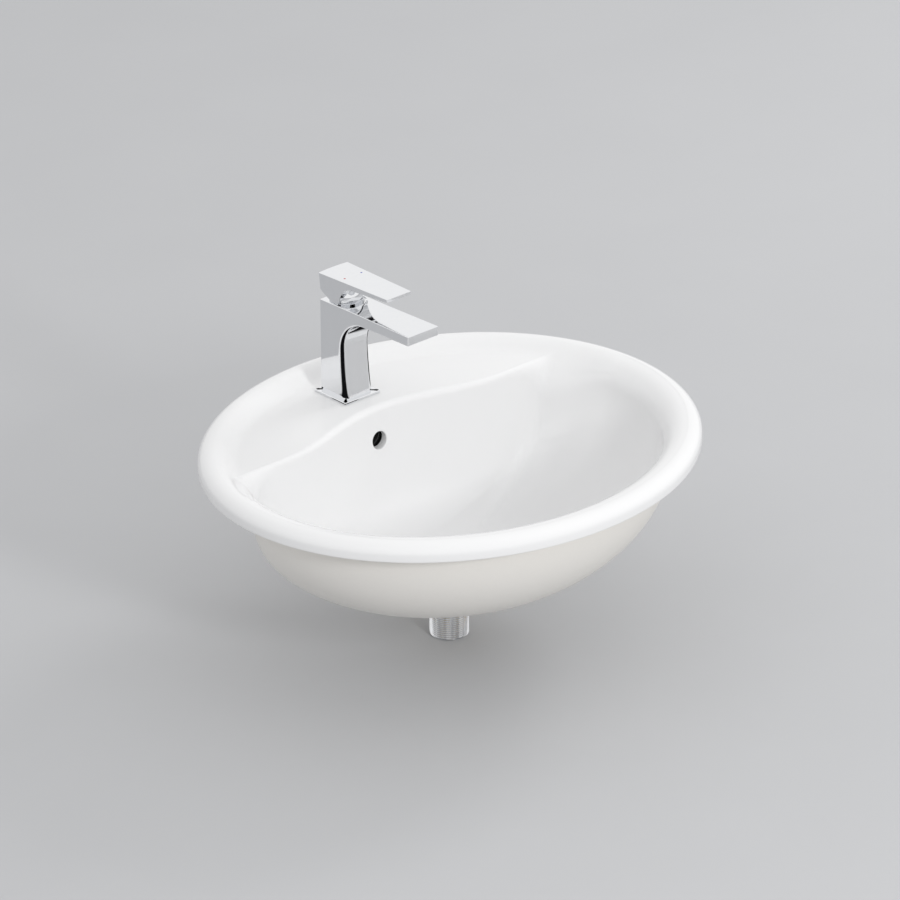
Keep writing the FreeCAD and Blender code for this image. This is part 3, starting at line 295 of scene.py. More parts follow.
# rows of (distance, height), single values or one per column, around an upright axis at (0, y)
def roundRows(rows, y, columns):
    angle = fullTurn(columns)
    reach, z = (np.array([np.broadcast_to(row[part], columns) for row in rows]) for part in (0, 1))
    return np.stack([reach * cos(angle), y + reach * sin(angle), z], -1)


# rises from 0 to 1 with level ends
def smoothStep(value):
    value = np.clip(value, 0, 1)
    return value * value * (3 - 2 * value)


# the value at which beyond() turns true, by halving
def halved(low, high, beyond, steps=44):
    for step in range(steps):
        mid = (low + high) / 2
        past = beyond(mid)
        high = np.where(past, mid, high)
        low = np.where(past, low, mid)
    return low


# Basin: circles of points around the waste axis run over the rim, down the bowl, under and back
basinShape = dict(
    halfX=275.0, halfY=240.0, wasteY=4.0, columns=480,
    lowRound=1.2, band=7.0, crownZ=19.0, crownInset=15.0, deckZ=8.0, deckInset=42.0,
    wallInset=40.0, wallRound=26.0, ledgeRound=7.0, roundBlend=70.0,
    ledgeBack=84.5, ledgeBay=29.0, bayHalf=150.0,
    cornerBlend=3.5, cornerSoft=8.0, cornerDraw=16.0, drawEnd=55.0, drawFade=50.0,
    bowlDepth=126.0, floorRadius=33.0, backFoot=43.0,
    recessRadius=32.5, recessZ=-129.5, recessRound=0.4, holeRadius=23.0, holeEdge=1.0,
    bossZ=-168.0, bossRadius=45.0, bossRound=2.0, bossFillet=4.0, footRun=10.0,
    deckThick=13.0, wallThick=11.0, backThick=13.75, floorThick=14.0, wallDrop=4.0,
    seatWidth=22.0, seatEdge=0.3, seatBlend=10.0, channelWall=11.0,
    housingHalf=45.0, housingBlend=25.0, housingTurn=34.0, housingFade=20.0,
    overflowZ=-30.5, overflowRadius=9.5, overflowLip=1.6,
    # depth, widening and painted shade (0 to 1) along the overflow's bore
    overflowBore=((4, 0, 0), (7.7, 0, 0.04), (8, 0.3, 0.9), (8.2, 4, 1), (16.5, 4, 1), (17, 3.5, 1)),
    patchHalf=13, patchTop=3, patchEnd=15,  # grid block that gives way to the overflow
)
bs = SimpleNamespace(**basinShape)
quarter = radians([0, 30, 60, 90])


# distance from the waste axis to the rim ellipse drawn in by inset, along an angle
def ovalReach(angle, inset):
    across, along = bs.halfX - inset, bs.halfY - inset
    square = (cos(angle) / across) ** 2 + (sin(angle) / along) ** 2
    linear = bs.wasteY * sin(angle) / along ** 2
    rest = (bs.wasteY / along) ** 2 - 1
    return (sqrt(linear ** 2 - square * rest) - linear) / square


# how far a point lies in from the rim ellipse
def insetAt(angle, reach):
    x, y = reach * cos(angle), bs.wasteY + reach * sin(angle)

    def beyond(inset):
        return (x / (bs.halfX - inset)) ** 2 + (y / (bs.halfY - inset)) ** 2 > 1

    return halved(-5.0, bs.halfY * 0.98, beyond)


# back wall line: a cosine bay on a straight ledge
def ledgeY(x):
    share = np.minimum(np.abs(x) / bs.bayHalf, 1)
    return bs.ledgeBack + bs.ledgeBay * (1 + cos(pi * share)) / 2


# distance to the back wall, drawn in to its foot by the cosine of the turn; far off for other angles
def backReach(angle, turn, thickness):
    def beyond(reach):
        x = reach * cos(angle)
        wall = bs.backFoot + (ledgeY(x) - bs.backFoot) * cos(turn) + thickness(x)
        return bs.wasteY + reach * sin(angle) > wall

    reach = halved(0, 16 * bs.halfX, beyond)
    return np.where(sin(angle) < 0.03, 8 * bs.halfX, reach)


# china of the back wall, thicker around the overflow channel
def backThickness(x):
    share = smoothStep((bs.housingHalf - np.abs(x)) / bs.housingBlend)
    return bs.backThick + bs.channelWall * share


# side walls: the oval, drawn in towards the two back corners over the upper half of the wall
def sideReach(angle, turn, inset):
    cornerY = bs.ledgeBack - bs.wasteY
    share = (bs.ledgeBack / (bs.halfY - bs.wallInset)) ** 2
    cornerX = (bs.halfX - bs.wallInset) * sqrt(1 - share)
    near = smoothStep(sin(angle) * math.hypot(cornerX, cornerY) / cornerY)
    fade = smoothStep((bs.drawEnd - degrees(turn)) / bs.drawFade)
    return ovalReach(angle, inset + bs.cornerDraw * near * fade)


# oval wall and back wall joined by a soft minimum
def wallReach(angle, turn, inset, foot, thickness):
    upper = cos(turn)
    oval = foot + (sideReach(angle, turn, inset) - foot) * upper
    back = backReach(angle, turn, thickness)
    softness = bs.cornerBlend * (0.25 + 0.75 * upper) + bs.cornerSoft * upper ** 6
    near, far = np.minimum(oval, back), np.maximum(oval, back)
    return near - softness * np.log1p(np.exp((near - far) / softness))


# the bowl's inside, the same without thickness
def bowlReach(angle, turn):
    return wallReach(angle, turn, bs.wallInset, bs.floorRadius, np.zeros_like)


# half cosine from the crown of the rim down to the deck
def deckHeight(inset):
    share = np.clip((inset - bs.crownInset) / (bs.deckInset - bs.crownInset), 0, 1)
    return bs.deckZ + (bs.crownZ - bs.deckZ) * (1 + cos(pi * share)) / 2


# the rounding between deck and wall: where it starts, its height, lean and radius
def roundingAt(angle):
    gap = sideReach(angle, 0, bs.wallInset) - backReach(angle, 0, np.zeros_like)
    share = smoothStep(gap / bs.roundBlend + 0.5)
    width = bs.wallRound + (bs.ledgeRound - bs.wallRound) * share
    stop = bowlReach(angle, 0) + width
    height = deckHeight(insetAt(angle, stop))
    fall = deckHeight(insetAt(angle, stop + 0.5)) - deckHeight(insetAt(angle, stop - 0.5))
    lean = np.arctan(np.maximum(fall, 0))
    return stop, height, lean, width / (1 - sin(lean))


# height at which the rounding has become the wall
def wallTop(angle):
    stop, height, lean, radius = roundingAt(angle)
    return height - radius * cos(lean)


# y of the back wall over (x, z), by repeating the angle until it settles
def wallYAt(x, z):
    y = bs.ledgeBack + bs.ledgeBay
    for step in range(8):
        angle = np.arctan2(y - bs.wasteY, x)
        top = wallTop(angle)
        turn = np.arcsin(np.clip((top - z) / (top + bs.bowlDepth), 0, 1))
        y = bs.wasteY + bowlReach(angle, turn) * sin(angle)
    return y


# one row per circle: its distances from the axis, its heights and its glaze
def basinRows(angle):
    rows, glaze = [], []

    def add(reach, z, shine=1):
        rows.append((reach, z))
        glaze.append(shine)

    edge = bs.lowRound
    for turn in quarter:  # lower edge of the rim
        add(ovalReach(angle, edge * (1 - sin(turn))), edge * (1 - cos(turn)), 0.3 + 0.443 * turn)
    for z in (3.2, 5.2):  # upright band
        add(ovalReach(angle, 0), z)
    for turn in np.linspace(0, pi / 2, 17):  # quarter ellipse up to the crown
        inset = bs.crownInset * (1 - cos(turn))
        add(ovalReach(angle, inset), bs.band + (bs.crownZ - bs.band) * sin(turn))
    stop, height, lean, radius = roundingAt(angle)
    start = ovalReach(angle, bs.crownInset)
    for part in np.linspace(0, 1, 44)[1:] ** 1.4:  # rim and deck
        reach = start + (stop - start) * part
        add(reach, deckHeight(insetAt(angle, reach)))
    for part in np.linspace(0, 1, 10)[1:]:  # rounding over the wall
        turn = lean + (pi / 2 - lean) * part
        add(stop - radius * (sin(turn) - sin(lean)), height - radius * (cos(lean) - cos(turn)))
    top = wallTop(angle)
    wallStart = len(rows) - 1
    for turn in pi / 2 * np.linspace(0, 1, 57)[1:]:  # bowl wall, a quarter ellipse to the floor
        add(bowlReach(angle, turn), top - (top + bs.bowlDepth) * sin(turn))
    edge = bs.recessRound
    for turn in quarter:  # edge of the recess
        add(bs.recessRadius + edge * (1 - sin(turn)), -bs.bowlDepth - edge * (1 - cos(turn)))
    hole, edge = bs.holeRadius, bs.holeEdge
    add(bs.recessRadius, bs.recessZ, 0.5)
    add(hole + edge, bs.recessZ, 0.2)
    add(hole, bs.recessZ - edge, 0.2)
    add(hole, bs.bossZ + edge, 0.1)
    add(hole + edge, bs.bossZ, 0)
    boss, edge = bs.bossRadius, bs.bossRound
    add(boss - edge, bs.bossZ, 0)
    for turn in quarter[1:]:
        add(boss - edge * (1 - sin(turn)), bs.bossZ + edge * (1 - cos(turn)), 0.25)
    share = smoothStep((bs.housingTurn - np.abs(degrees(angle) - 90)) / bs.housingFade)
    floor = -(bs.bowlDepth + bs.floorThick + bs.channelWall * share)
    fillet = bs.bossFillet
    for part in (0.4, 0.75):
        add(boss, bs.bossZ + (floor - fillet - bs.bossZ) * part, 0.45)
    for turn in quarter:  # fillet between boss and floor
        add(boss + fillet * (1 - cos(turn)), floor - fillet + fillet * sin(turn), 0.45)
    under = bs.deckZ - bs.deckThick
    drop = under - bs.wallDrop
    for turn in pi / 2 * np.linspace(1, 0, 34):  # outside of the bowl
        outer = wallReach(angle, turn, bs.wallInset - bs.wallThick, boss + bs.footRun, backThickness)
        add(outer, drop - (drop - floor) * sin(turn), 0.45)
    seat = ovalReach(angle, bs.seatWidth)
    for part in (1.0, 0.97, 0.9, 0.8, 0.65, 0.5, 0.36, 0.26, 0.2, 0.14, 0.08, 0.04, 0.015):
        reach = seat + (outer - seat) * part
        add(reach, under * smoothStep((seat - reach) / bs.seatBlend), 0.35)
    add(seat + bs.seatEdge, 0.0, 0)
    add(ovalReach(angle, bs.seatWidth / 2), 0.0, 0)
    return rows, glaze, wallStart


# the grid of those circles, with rings from a block of it in to the overflow's lip and down its bore
def makeBasin():
    count = bs.columns
    rows, glaze, wallStart = basinRows(fullTurn(count))
    grid = roundRows(rows, bs.wasteY, count).reshape(-1, 3)
    quads = gridQuads(len(rows), count, wrapRows=True)
    keep = np.ones(quads.shape[:2], bool)
    index = np.arange(len(grid)).reshape(-1, count)
    loop = openBlock(index, keep, wallStart + bs.patchTop, wallStart + bs.patchEnd,
                     count // 4 - bs.patchHalf, count // 4 + bs.patchHalf)
    border = grid[loop][:, [0, 2]] - [0, bs.overflowZ]
    side = np.arctan2(border[:, 1], border[:, 0])
    ring = np.stack([cos(side), sin(side)], -1)
    hole, lip = bs.overflowRadius, bs.overflowLip
    rings, shade = [], []

    def addRing(spot, y, dark=0.0):
        rings.append(np.stack([spot[:, 0], y, spot[:, 1] + bs.overflowZ], -1))
        shade.append(dark)

    for part in np.linspace(1, 0, 9)[1:] ** 1.2:
        spot = ring * (hole + lip) + (border - ring * (hole + lip)) * part
        addRing(spot, wallYAt(spot[:, 0], spot[:, 1] + bs.overflowZ))
    lipY = rings[-1][:, 1]
    for turn in radians([15, 30, 45, 60, 75, 90]):
        addRing(ring * (hole + lip * (1 - sin(turn))), lipY + lip * (1 - cos(turn)))
    # rings down the bore carry painted shade, near black where the channel widens
    for depth, wider, dark in bs.overflowBore:
        addRing(ring * (hole + wider), np.full(len(loop), lipY.mean() + depth), dark)
    points, faces = [grid], quads[keep].tolist()
    extra = addRings(points, faces, rings, loop, True).size
    piece = makePiece("basin_china", "fixture", "china", np.vstack(points), faces, 40, "basin")
    setPointValue(piece, "glaze", np.repeat(glaze, count), np.ones(extra))
    # painted shade of the overflow's bore, read by the china glaze
    setPointValue(piece, "overflow_shade", np.zeros(len(grid)), np.repeat(shade, len(loop)))


makeBasin()
print("stage: basin")


# Paths, bands and turned shapes shared by the fittings
# a polyline whose corners are arcs of the given radii; gives its points and outward normals
def softPath(spots, radii, closed=True, gap=9.0, steps=5):
    spots = np.asarray(spots, float)
    before = spots - np.roll(spots, 1, 0)
    before = before / np.linalg.norm(before, axis=1, keepdims=True)
    after = np.roll(before, -1, 0)
    if not closed:
        before[0], after[-1] = after[0], before[-1]
    places, ways = [], []
    for spot, inn, out, radius in zip(spots, before, after, radii):
        normalIn = np.array([inn[1], -inn[0]])
        bend = math.atan2(inn[0] * out[1] - inn[1] * out[0], inn @ out)
        if radius > 0:
            side = math.copysign(1, bend)
            centre = spot - inn * radius * math.tan(abs(bend) / 2) - normalIn * radius * side
            turn = bend * np.linspace(0, 1, steps + 1)[:, None]
            way = normalIn * cos(turn) + inn * sin(turn)
            places.append(centre + way * radius * side)
        else:
            way = np.array([[inn[1] + out[1], -inn[0] - out[0]]])
            way = way / np.linalg.norm(way)
            places.append(spot[None])
        ways.append(way)
    places, ways = np.vstack(places), np.vstack(ways)
    ends = len(places) if closed else len(places) - 1
    fullPlaces, fullWays = [], []
    for index, (place, way) in enumerate(zip(places, ways)):
        step = places[(index + 1) % len(places)] - place
        length = np.linalg.norm(step)
        parts = int(length // gap) if index < ends else 0  # straight run, divided
        share = (np.arange(1, parts + 1) / (parts + 1))[:, None]
        fullPlaces += [place[None], place + step * share]
        fullWays += [way[None], np.repeat([[step[1] / length, -step[0] / length]], parts, 0)]
    return np.vstack(fullPlaces), np.vstack(fullWays)


# points of an arc, angles in degrees
def arcSpots(centre, radius, first, last, count):
    turn = radians(np.linspace(first, last, count))
    return np.stack([centre[0] + radius * cos(turn), centre[1] + radius * sin(turn)], -1)


# a side outline (y, z) carried across x: flat in the middle, quarter rounds of the given radius at
# both edges; opening gives half the width that is left out of the middle at each point of the path
def bandGrid(path, ways, radius, halfWidth, opening, steps, flats):
    turn = radians(np.linspace(90, 0, steps + 1))
    share = np.linspace(0, 1, flats + 1)[1:]
    radius = radius[:, None]
    depth = radius * (1 - np.concatenate([cos(turn), np.ones(flats)]))[None]
    lean = np.concatenate([sin(turn), np.zeros(flats)])[None]
    side = path[:, None, :] - ways[:, None, :] * depth[..., None]
    edge = halfWidth(side[..., 0]) - radius + radius * lean
    start = edge[:, steps:steps + 1]
    edge[:, steps + 1:] = start + (opening[:, None] - start) * share
    left = np.stack([-edge, side[..., 0], side[..., 1]], -1)
    upright = sqrt(1 - lean ** 2)
    leftWays = np.stack(np.broadcast_arrays(-lean, ways[:, :1] * upright, ways[:, 1:] * upright), -1)
    return [np.concatenate([half, (half * [-1, 1, 1])[:, ::-1]], 1) for half in (left, leftWays)]


# triangles between closed loops of points in a plane; one is kept if its middle lies inside an odd
# number of the loops, so holes stay open
def fillLoops(flat, loops):
    used = np.concatenate(loops)
    ends = np.cumsum([len(loop) for loop in loops])
    after = np.arange(1, len(used) + 1)
    after[ends - 1] = [0, *ends[:-1]]
    pairs = list(enumerate(after.tolist()))
    made = delaunay_2d_cdt([Vector(spot) for spot in flat[used]], pairs, [], 1, 1e-6)
    faces = used[np.array([[made[3][corner][0] for corner in face] for face in made[2]])]
    x, y = flat[faces].mean(1).T[..., None]
    inside = np.zeros(len(faces), int)
    for loop in loops:
        (x0, y0), (x1, y1) = flat[loop].T, flat[np.roll(loop, -1)].T
        cross = x0 + (y - y0) * (x1 - x0) / np.where(y1 == y0, 1, y1 - y0)
        inside += (((y0 > y) != (y1 > y)) & (x < cross)).sum(1)
    return faces[inside % 2 == 1].tolist()


# a closed profile (radius, z), its corners rounded, turned around an upright axis at (0, y)
def turnedPiece(name, body, spots, radii, y, steps, stands):
    profile = softPath(spots, radii, True, 4.0, 4)[0]
    faces = stackFaces(len(profile), steps, True)
    makePiece(name, body, "chrome", roundRows(profile, y, steps), faces, 35, stands)


# Mixer body: its side outline carried across, the front corners rounded less and less along the arch
mixerShape = dict(
    axisY=162.0, half=19.5, foot=11.0, rearTop=115.0, tipTop=118.3, tipLow=108.0,
    reach=119.5, archTop=104.5, archRadius=36.0, waist=14.6, waistRadius=339.8,
    cornerRound=6.0, edgeRound=0.8, roundRoom=0.05, flare=1.4, flareFrom=45.0,
    spigotRadius=15.5, spigotEnd=3.0, spigotEdge=0.6, seatRadius=16.5, seatDip=0.05,
    neckRadius=16.0, neckEnd=107.0, boreRadius=14.2, boreEnd=90.0, boreSpan=24.0,
    inletRadius=4.6, inletSide=7.5, inletBack=4.0, inletEnd=17.0, holeEdge=0.4,
    studRadius=4.0, studFront=8.5, studEnd=20.0,
    outletFront=106.0, outletRadius=9.46, outletEnd=113.8, outletSpan=92.0,
    roundSteps=7, flatSteps=5,
)
ms = SimpleNamespace(**mixerShape)


# half width, growing evenly along the spout
def mixerWidth(y):
    share = np.clip((-y - ms.flareFrom) / (ms.reach - ms.flareFrom), 0, 1)
    return ms.half + ms.flare * share


def makeMixerBody():
    archY, archZ = -ms.waist - ms.archRadius, ms.archTop - ms.archRadius
    lean = degrees(math.asin((archZ - ms.foot) / ms.waistRadius))
    corners = [(ms.half, ms.foot), (ms.half, ms.rearTop), (-ms.reach, ms.tipTop), (-ms.reach, ms.tipLow)]
    arch = arcSpots((archY, archZ), ms.archRadius, 90, 0, 40)
    waist = arcSpots((-ms.waist - ms.waistRadius, archZ), ms.waistRadius, 0, -lean, 24)[1:]
    spots = np.vstack([corners, arch, waist])
    edge, steps = ms.edgeRound, ms.roundSteps
    radii = [0] + [edge + ms.roundRoom] * 3 + [0] * (len(spots) - 4)
    path, ways = softPath(spots, radii, False, 5.0)
    onArch = (path[:, 0] > archY) & (path[:, 0] < 0) & (path[:, 1] < ms.archTop + 1e-6)
    climb = np.clip(degrees(np.arctan2(path[:, 1] - archZ, path[:, 0] - archY)) / 90, 0, 1)
    radius = np.where(onArch, edge + (ms.cornerRound - edge) * (1 - climb), edge)
    grid, normals = bandGrid(path, ways, radius, mixerWidth, np.zeros(len(path)), steps, ms.flatSteps)
    grid[-1, :, 2] = ms.foot
    middle = grid.shape[1] // 2  # the two halves meet here, so one of the two columns goes
    grid, normals = np.delete(grid, middle, 1), np.delete(normals, middle, 1)
    rows, columns = grid.shape[:2]
    index = np.arange(rows * columns).reshape(rows, columns)
    quads = gridQuads(rows, columns, False, False)
    keep = np.ones(quads.shape[:2], bool)
    points, faces = [grid.reshape(-1, 3)], []

    def fill(loops, axis=0):  # seen along z, or along x
        faces.extend(fillLoops(np.vstack(points)[:, axis:axis + 2], loops))

    def letIn(rings, face, past, height):  # a bore let into a sloping face
        border = openBlock(index, keep, face[0], face[past][0], steps, columns - steps - 1)
        rings[0, :, 2] = height(rings[0, :, 1])
        fill([border, addRings(points, faces, rings, lid=True)[0]])

    top = np.where((path[:, 1] > ms.rearTop - 0.3) & (np.abs(ways[:, 1] - 1) < 0.01))[0]
    slope = (ms.tipTop - ms.rearTop) / (ms.reach + ms.half)
    ledge = ms.rearTop - ms.seatDip
    bore = roundRows([(ms.seatRadius, 0), (ms.seatRadius, ledge), (ms.neckRadius, ledge),
                      (ms.neckRadius, ms.neckEnd), (ms.boreRadius, ms.neckEnd),
                      (ms.boreRadius, ms.boreEnd)], 0, 72)
    letIn(bore, top, path[top, 0] < -ms.boreSpan, lambda y: ms.rearTop + (ms.half - y) * slope)
    under = np.where((path[:, 0] < archY) & (ways[:, 1] < -0.99) & (path[:, 0] > 0.7 - ms.reach))[0]
    fall = (ms.tipLow - ms.archTop) / (ms.reach + archY)
    mouth = roundRows([(ms.outletRadius, 0), (ms.outletRadius, ms.outletEnd)], -ms.outletFront, 48)
    letIn(mouth, under, path[under, 0] > -ms.outletSpan, lambda y: ms.tipLow - (y + ms.reach) * fall)
    for column in (0, columns - 1):  # the two sides
        fill([index[:, column]], 1)
    # foot: bottom face around the spigot, then the spigot with its two inlets and the stud's hole
    radius, end, edge = ms.spigotRadius, ms.spigotEnd, ms.spigotEdge
    rings = roundRows([(radius, ms.foot), (radius, end + edge), (radius - edge, end)], 0, 64)
    spigot = addRings(points, faces, rings)
    fill([np.concatenate([index[0], index[-1, ::-1]]), spigot[0]])
    holes = []
    inlet, edge = (ms.inletBack, ms.inletRadius, ms.inletEnd), ms.holeEdge
    for x, y, radius, top in ((-ms.inletSide, *inlet), (ms.inletSide, *inlet),
                              (0, -ms.studFront, ms.studRadius, ms.studEnd)):
        rings = roundRows([(radius + edge, end), (radius, end + edge), (radius, top)], y, 32) + [x, 0, 0]
        holes.append(addRings(points, faces, rings, lid=True)[0])
    fill([spigot[-1]] + holes)
    faces += quads[keep].tolist()
    place = np.vstack(points) + [0, ms.axisY, 0]
    makePiece("mixer_body", "fixture", "chrome", place, faces, 35, "tap_body", normals)


makeMixerBody()
print("stage: mixer body")


# Lever: side outline carried across a tapering plan, with a ball-shaped hollow opening below
leverShape = dict(
    axisY=162.0, pivotZ=120.0, rear=21.9, front=82.5, rearTop=25.0, tipTop=27.0,
    thickness=4.0, tipLean=0.4, archFront=30.8, archRise=19.5, archRadius=20.0,
    archRun=0.99, archFall=0.8589, skirt=2.7, skirtFront=-0.4, skirtBack=0.12,
    heel=19.6, heelRise=6.7, rearHalf=20.0, tipHalf=16.5,
    bulge=1.2, bulgeFrom=12.0, bulgeBlend=8.0,
    hollow=17.9, edgeRound=0.8, lowRound=0.5, roundRoom=0.05, archSteps=30,
)
ls = SimpleNamespace(**leverShape)


# half width, tapering evenly from the rear to the tip
def leverWidth(y):
    share = (ls.rear - ls.bulge - y) / (ls.rear + ls.front - ls.tipLean / 2)
    return ls.rearHalf + (ls.tipHalf - ls.rearHalf) * np.clip(share, -0.02, 1.02)


# the arc of given radius from first to last that bulges to the left of its chord
def arcOver(first, last, radius, count):
    first, last = np.array(first), np.array(last)
    chord = last - first
    length = np.linalg.norm(chord)
    left = np.array([-chord[1], chord[0]]) / length
    centre = (first + last) / 2 - left * sqrt(radius ** 2 - length ** 2 / 4)
    start, end = (degrees(math.atan2(*(spot - centre)[::-1])) for spot in (first, last))
    end = start + (end - start + 180) % 360 - 180
    return arcSpots(centre, radius, start, end, count)


def makeLever():
    radius, steps = ls.archRadius, ls.archSteps
    archStart = (-ls.archFront, ls.archRise)
    archEnd = (ls.archRun * radius - ls.archFront, ls.archRise - ls.archFall * radius)
    spots = np.vstack([
        [(ls.rear, ls.rearTop), (-ls.front, ls.tipTop),
         (ls.tipLean - ls.front, ls.tipTop - ls.thickness)],
        arcOver(archStart, archEnd, radius, steps),
        [(ls.skirtFront * ls.heel, -ls.skirt), (ls.skirtBack * ls.heel, -ls.skirt),
         (ls.heel, ls.heelRise)],
    ])
    top, low, room = ls.edgeRound, ls.lowRound, ls.roundRoom
    radii = [top + room] * 3 + [0] * (steps - 1) + [low + room] * 3 + [top + room]
    path, ways = softPath(spots, radii, True, 2.5)
    away = np.linalg.norm(path, axis=1) - ls.hollow
    crossing = np.where(away * np.roll(away, -1) < 0)[0]
    for row in crossing[::-1]:  # points where the outline meets the hollow
        after = (row + 1) % len(path)
        share = away[row] / (away[row] - away[after])
        path = np.insert(path, row + 1, path[row] + (path[after] - path[row]) * share, 0)
        ways = np.insert(ways, row + 1, ways[row], 0)
        away = np.insert(away, row + 1, 0)
    opening = sqrt(np.maximum(ls.hollow ** 2 - (path ** 2).sum(1), 0))
    opening[np.abs(away) < 1e-9] = 0
    high = (path[:, 1] > ls.archRise + 1) | (path[:, 0] > ls.heel - 1)
    grid, normals = bandGrid(path, ways, np.where(high, top, low), leverWidth, opening, 5, 6)
    rows, columns = grid.shape[:2]
    middle = columns // 2
    tail = smoothStep((grid[..., 1] - ls.bulgeFrom) / ls.bulgeBlend)
    grid[..., 1] -= ls.bulge * (grid[..., 0] / ls.rearHalf) ** 2 * tail
    index = np.arange(rows * columns).reshape(rows, columns)
    shut = opening == 0
    index[shut, middle] = index[shut, middle - 1]
    normals[~shut, middle - 1:middle + 1] = 0
    points = [grid.reshape(-1, 3)]
    quads = index.ravel()[gridQuads(rows, columns, True, False)]
    faces = np.delete(quads, middle - 1, 1).reshape(-1, 4).tolist()
    for column in (0, -1):  # the two sides
        faces += fillLoops(points[0][:, 1:], [index[:, column]])
    # hollow: rings from the opening's edge along great circles to the top of the ball
    inside = np.where(~shut)[0]
    span = np.arange(inside[0] - 1, inside[-1] + 2) % rows
    loop = np.concatenate([index[span, middle - 1], index[span[-2:0:-1], middle]])
    start = points[0][loop]
    start = start / np.linalg.norm(start, axis=1, keepdims=True)
    pole = np.array([0, 0, 1.0])
    swing = np.arccos(np.clip(start @ pole, -1, 1))[:, None]
    rings = [(sin((1 - share) * swing) * start + sin(share * swing) * pole) / sin(swing)
             for share in np.linspace(0, 1, 15)[1:-1]]
    last = addRings(points, faces, np.array(rings) * ls.hollow, loop)[-1]
    faces += np.stack([last, np.roll(last, -1), np.full(len(last), last[-1] + 1)], -1).tolist()
    place = np.vstack([*points, pole * ls.hollow]) + [0, ls.axisY, ls.pivotZ]
    makePiece("lever_chrome", "lever", "chrome", place, faces, 30, "lever_handle", normals)


makeLever()
print("stage: lever")


# Base plate: rounded square loops, inset and raised by a profile, closing on the round hole
plateShape = dict(
    axisY=162.0, half=24.5, corner=1.0, low=8.0, top=11.0, edge=0.8, lowEdge=0.25,
    rimWidth=0.3, flatWidth=4.0, hole=15.6, recess=21.4, recessTop=9.0,
)


def makePlate():
    ps = SimpleNamespace(**plateShape)
    half, low, top, edge = ps.half, ps.low, ps.top, ps.edge
    corners = [(half, -half), (half, half), (-half, half), (-half, -half)]
    square, ways = softPath(corners, [ps.corner] * 4, True, 3.0, 6)
    way = np.arctan2(square[:, 1], square[:, 0])
    ring = np.stack([cos(way), sin(way)], -1)
    turn = radians([0, 18, 36, 54, 72, 90])
    profile = [(ps.lowEdge, low), (0.0, low + ps.lowEdge)]
    profile += list(zip(edge * (1 - cos(turn)), top - edge * (1 - sin(turn))))
    profile += [(edge + ps.rimWidth, top), (ps.flatWidth, top)]
    loops = [(square - ways * inset, z) for inset, z in profile]
    loops += [(ring * radius, z) for radius, z in (
        (ps.hole, top), (ps.hole, ps.recessTop), (ps.recess, ps.recessTop), (ps.recess, low))]
    points = np.stack([np.column_stack([flat, np.full(len(flat), z)]) for flat, z in loops])
    climb = np.concatenate([turn, [pi / 2] * 2])  # lean of each loop of the edge and the top
    side = [np.column_stack([ways * cos(lean), np.full(len(ways), sin(lean))]) for lean in climb]
    normals = np.zeros_like(points)
    normals[2:2 + len(side)] = side
    faces = stackFaces(len(loops), len(square), True)
    place = points + [0, ps.axisY, 0]
    makePiece("mixer_plate", "fixture", "chrome", place, faces, 30, "base_plate", normals)


makePlate()

# Turned fittings: corner lists of (radius, z) and the rounding of each corner
domeShape = dict(axisY=162.0, pivotZ=120.0, outer=17.0, inner=15.8, foot=115.0, open=11.4, edge=0.3)


# two arcs about the pivot, up the outside and down the inside
def makeDome():
    ds = SimpleNamespace(**domeShape)
    spots = []
    for radius, count in ((ds.outer, 26), (ds.inner, 20)):
        low = degrees(math.asin((ds.foot - ds.pivotZ) / radius))
        high = degrees(math.acos(ds.open / radius))
        spots.append(arcSpots((0, ds.pivotZ), radius, low, high, count))
    radii = [0] * 25 + [ds.edge] * 2 + [0] * 19
    turnedPiece("mixer_dome", "fixture", np.vstack([spots[0], spots[1][::-1]]), radii, ds.axisY, 96,
                "dome_cover")


makeDome()
aeratorShape = dict(y=56.0, radius=9.4, bore=7.6, lip=0.8, low=106.1, top=112.2)


# a tube with a lip inside its lower end
def makeAerator():
    az = SimpleNamespace(**aeratorShape)
    spots = [(az.bore - az.lip, az.low), (az.radius, az.low), (az.radius, az.top), (az.bore, az.top),
             (az.bore, az.low + az.lip), (az.bore - az.lip, az.low + az.lip)]
    turnedPiece("aerator_ring", "fixture", spots, [0.2, 0.6] + [0.1] * 4, az.y, 72, "aerator_housing")


makeAerator()
plugShape = dict(y=4.0, radius=27.0, low=-124.4, edge=2.0, crown=2.2, tip=0.02)


# a disc under a low cap of a ball
def makePlug():
    ps = SimpleNamespace(**plugShape)
    radius = (ps.radius ** 2 + ps.crown ** 2) / (2 * ps.crown)
    share = np.linspace(0, 1, 16)[:, None]
    reach = ps.radius * (1 - share) + ps.tip * share
    height = ps.low + ps.edge + ps.crown - radius + sqrt(radius ** 2 - reach ** 2)
    spots = np.vstack([[(ps.tip, ps.low), (ps.radius, ps.low)], np.hstack([reach, height])])
    radii = [0, 0.3, 0.9] + [0] * 15
    turnedPiece("plug_chrome", "plug", spots, radii, ps.y, 112, "plug_cap")


makePlug()
print("stage: plate, dome, aerator, plug")


# Threads, nuts and the waste under the bowl
# one row: the crest less a rounded groove that climbs one pitch for each turn around the axis, and
# less a cone at the low end
def threadRow(z, shape):
    level = 0.12  # share of the pitch at crest and root
    share = np.mod(z / shape.pitch - fullTurn(shape.columns) / (2 * pi), 1)
    reach = shape.crest - shape.depth * smoothStep((np.abs(2 * share - 1) - level) / (1 - 2 * level))
    return np.minimum(reach, shape.crest - shape.lead + (z - shape.low)), z


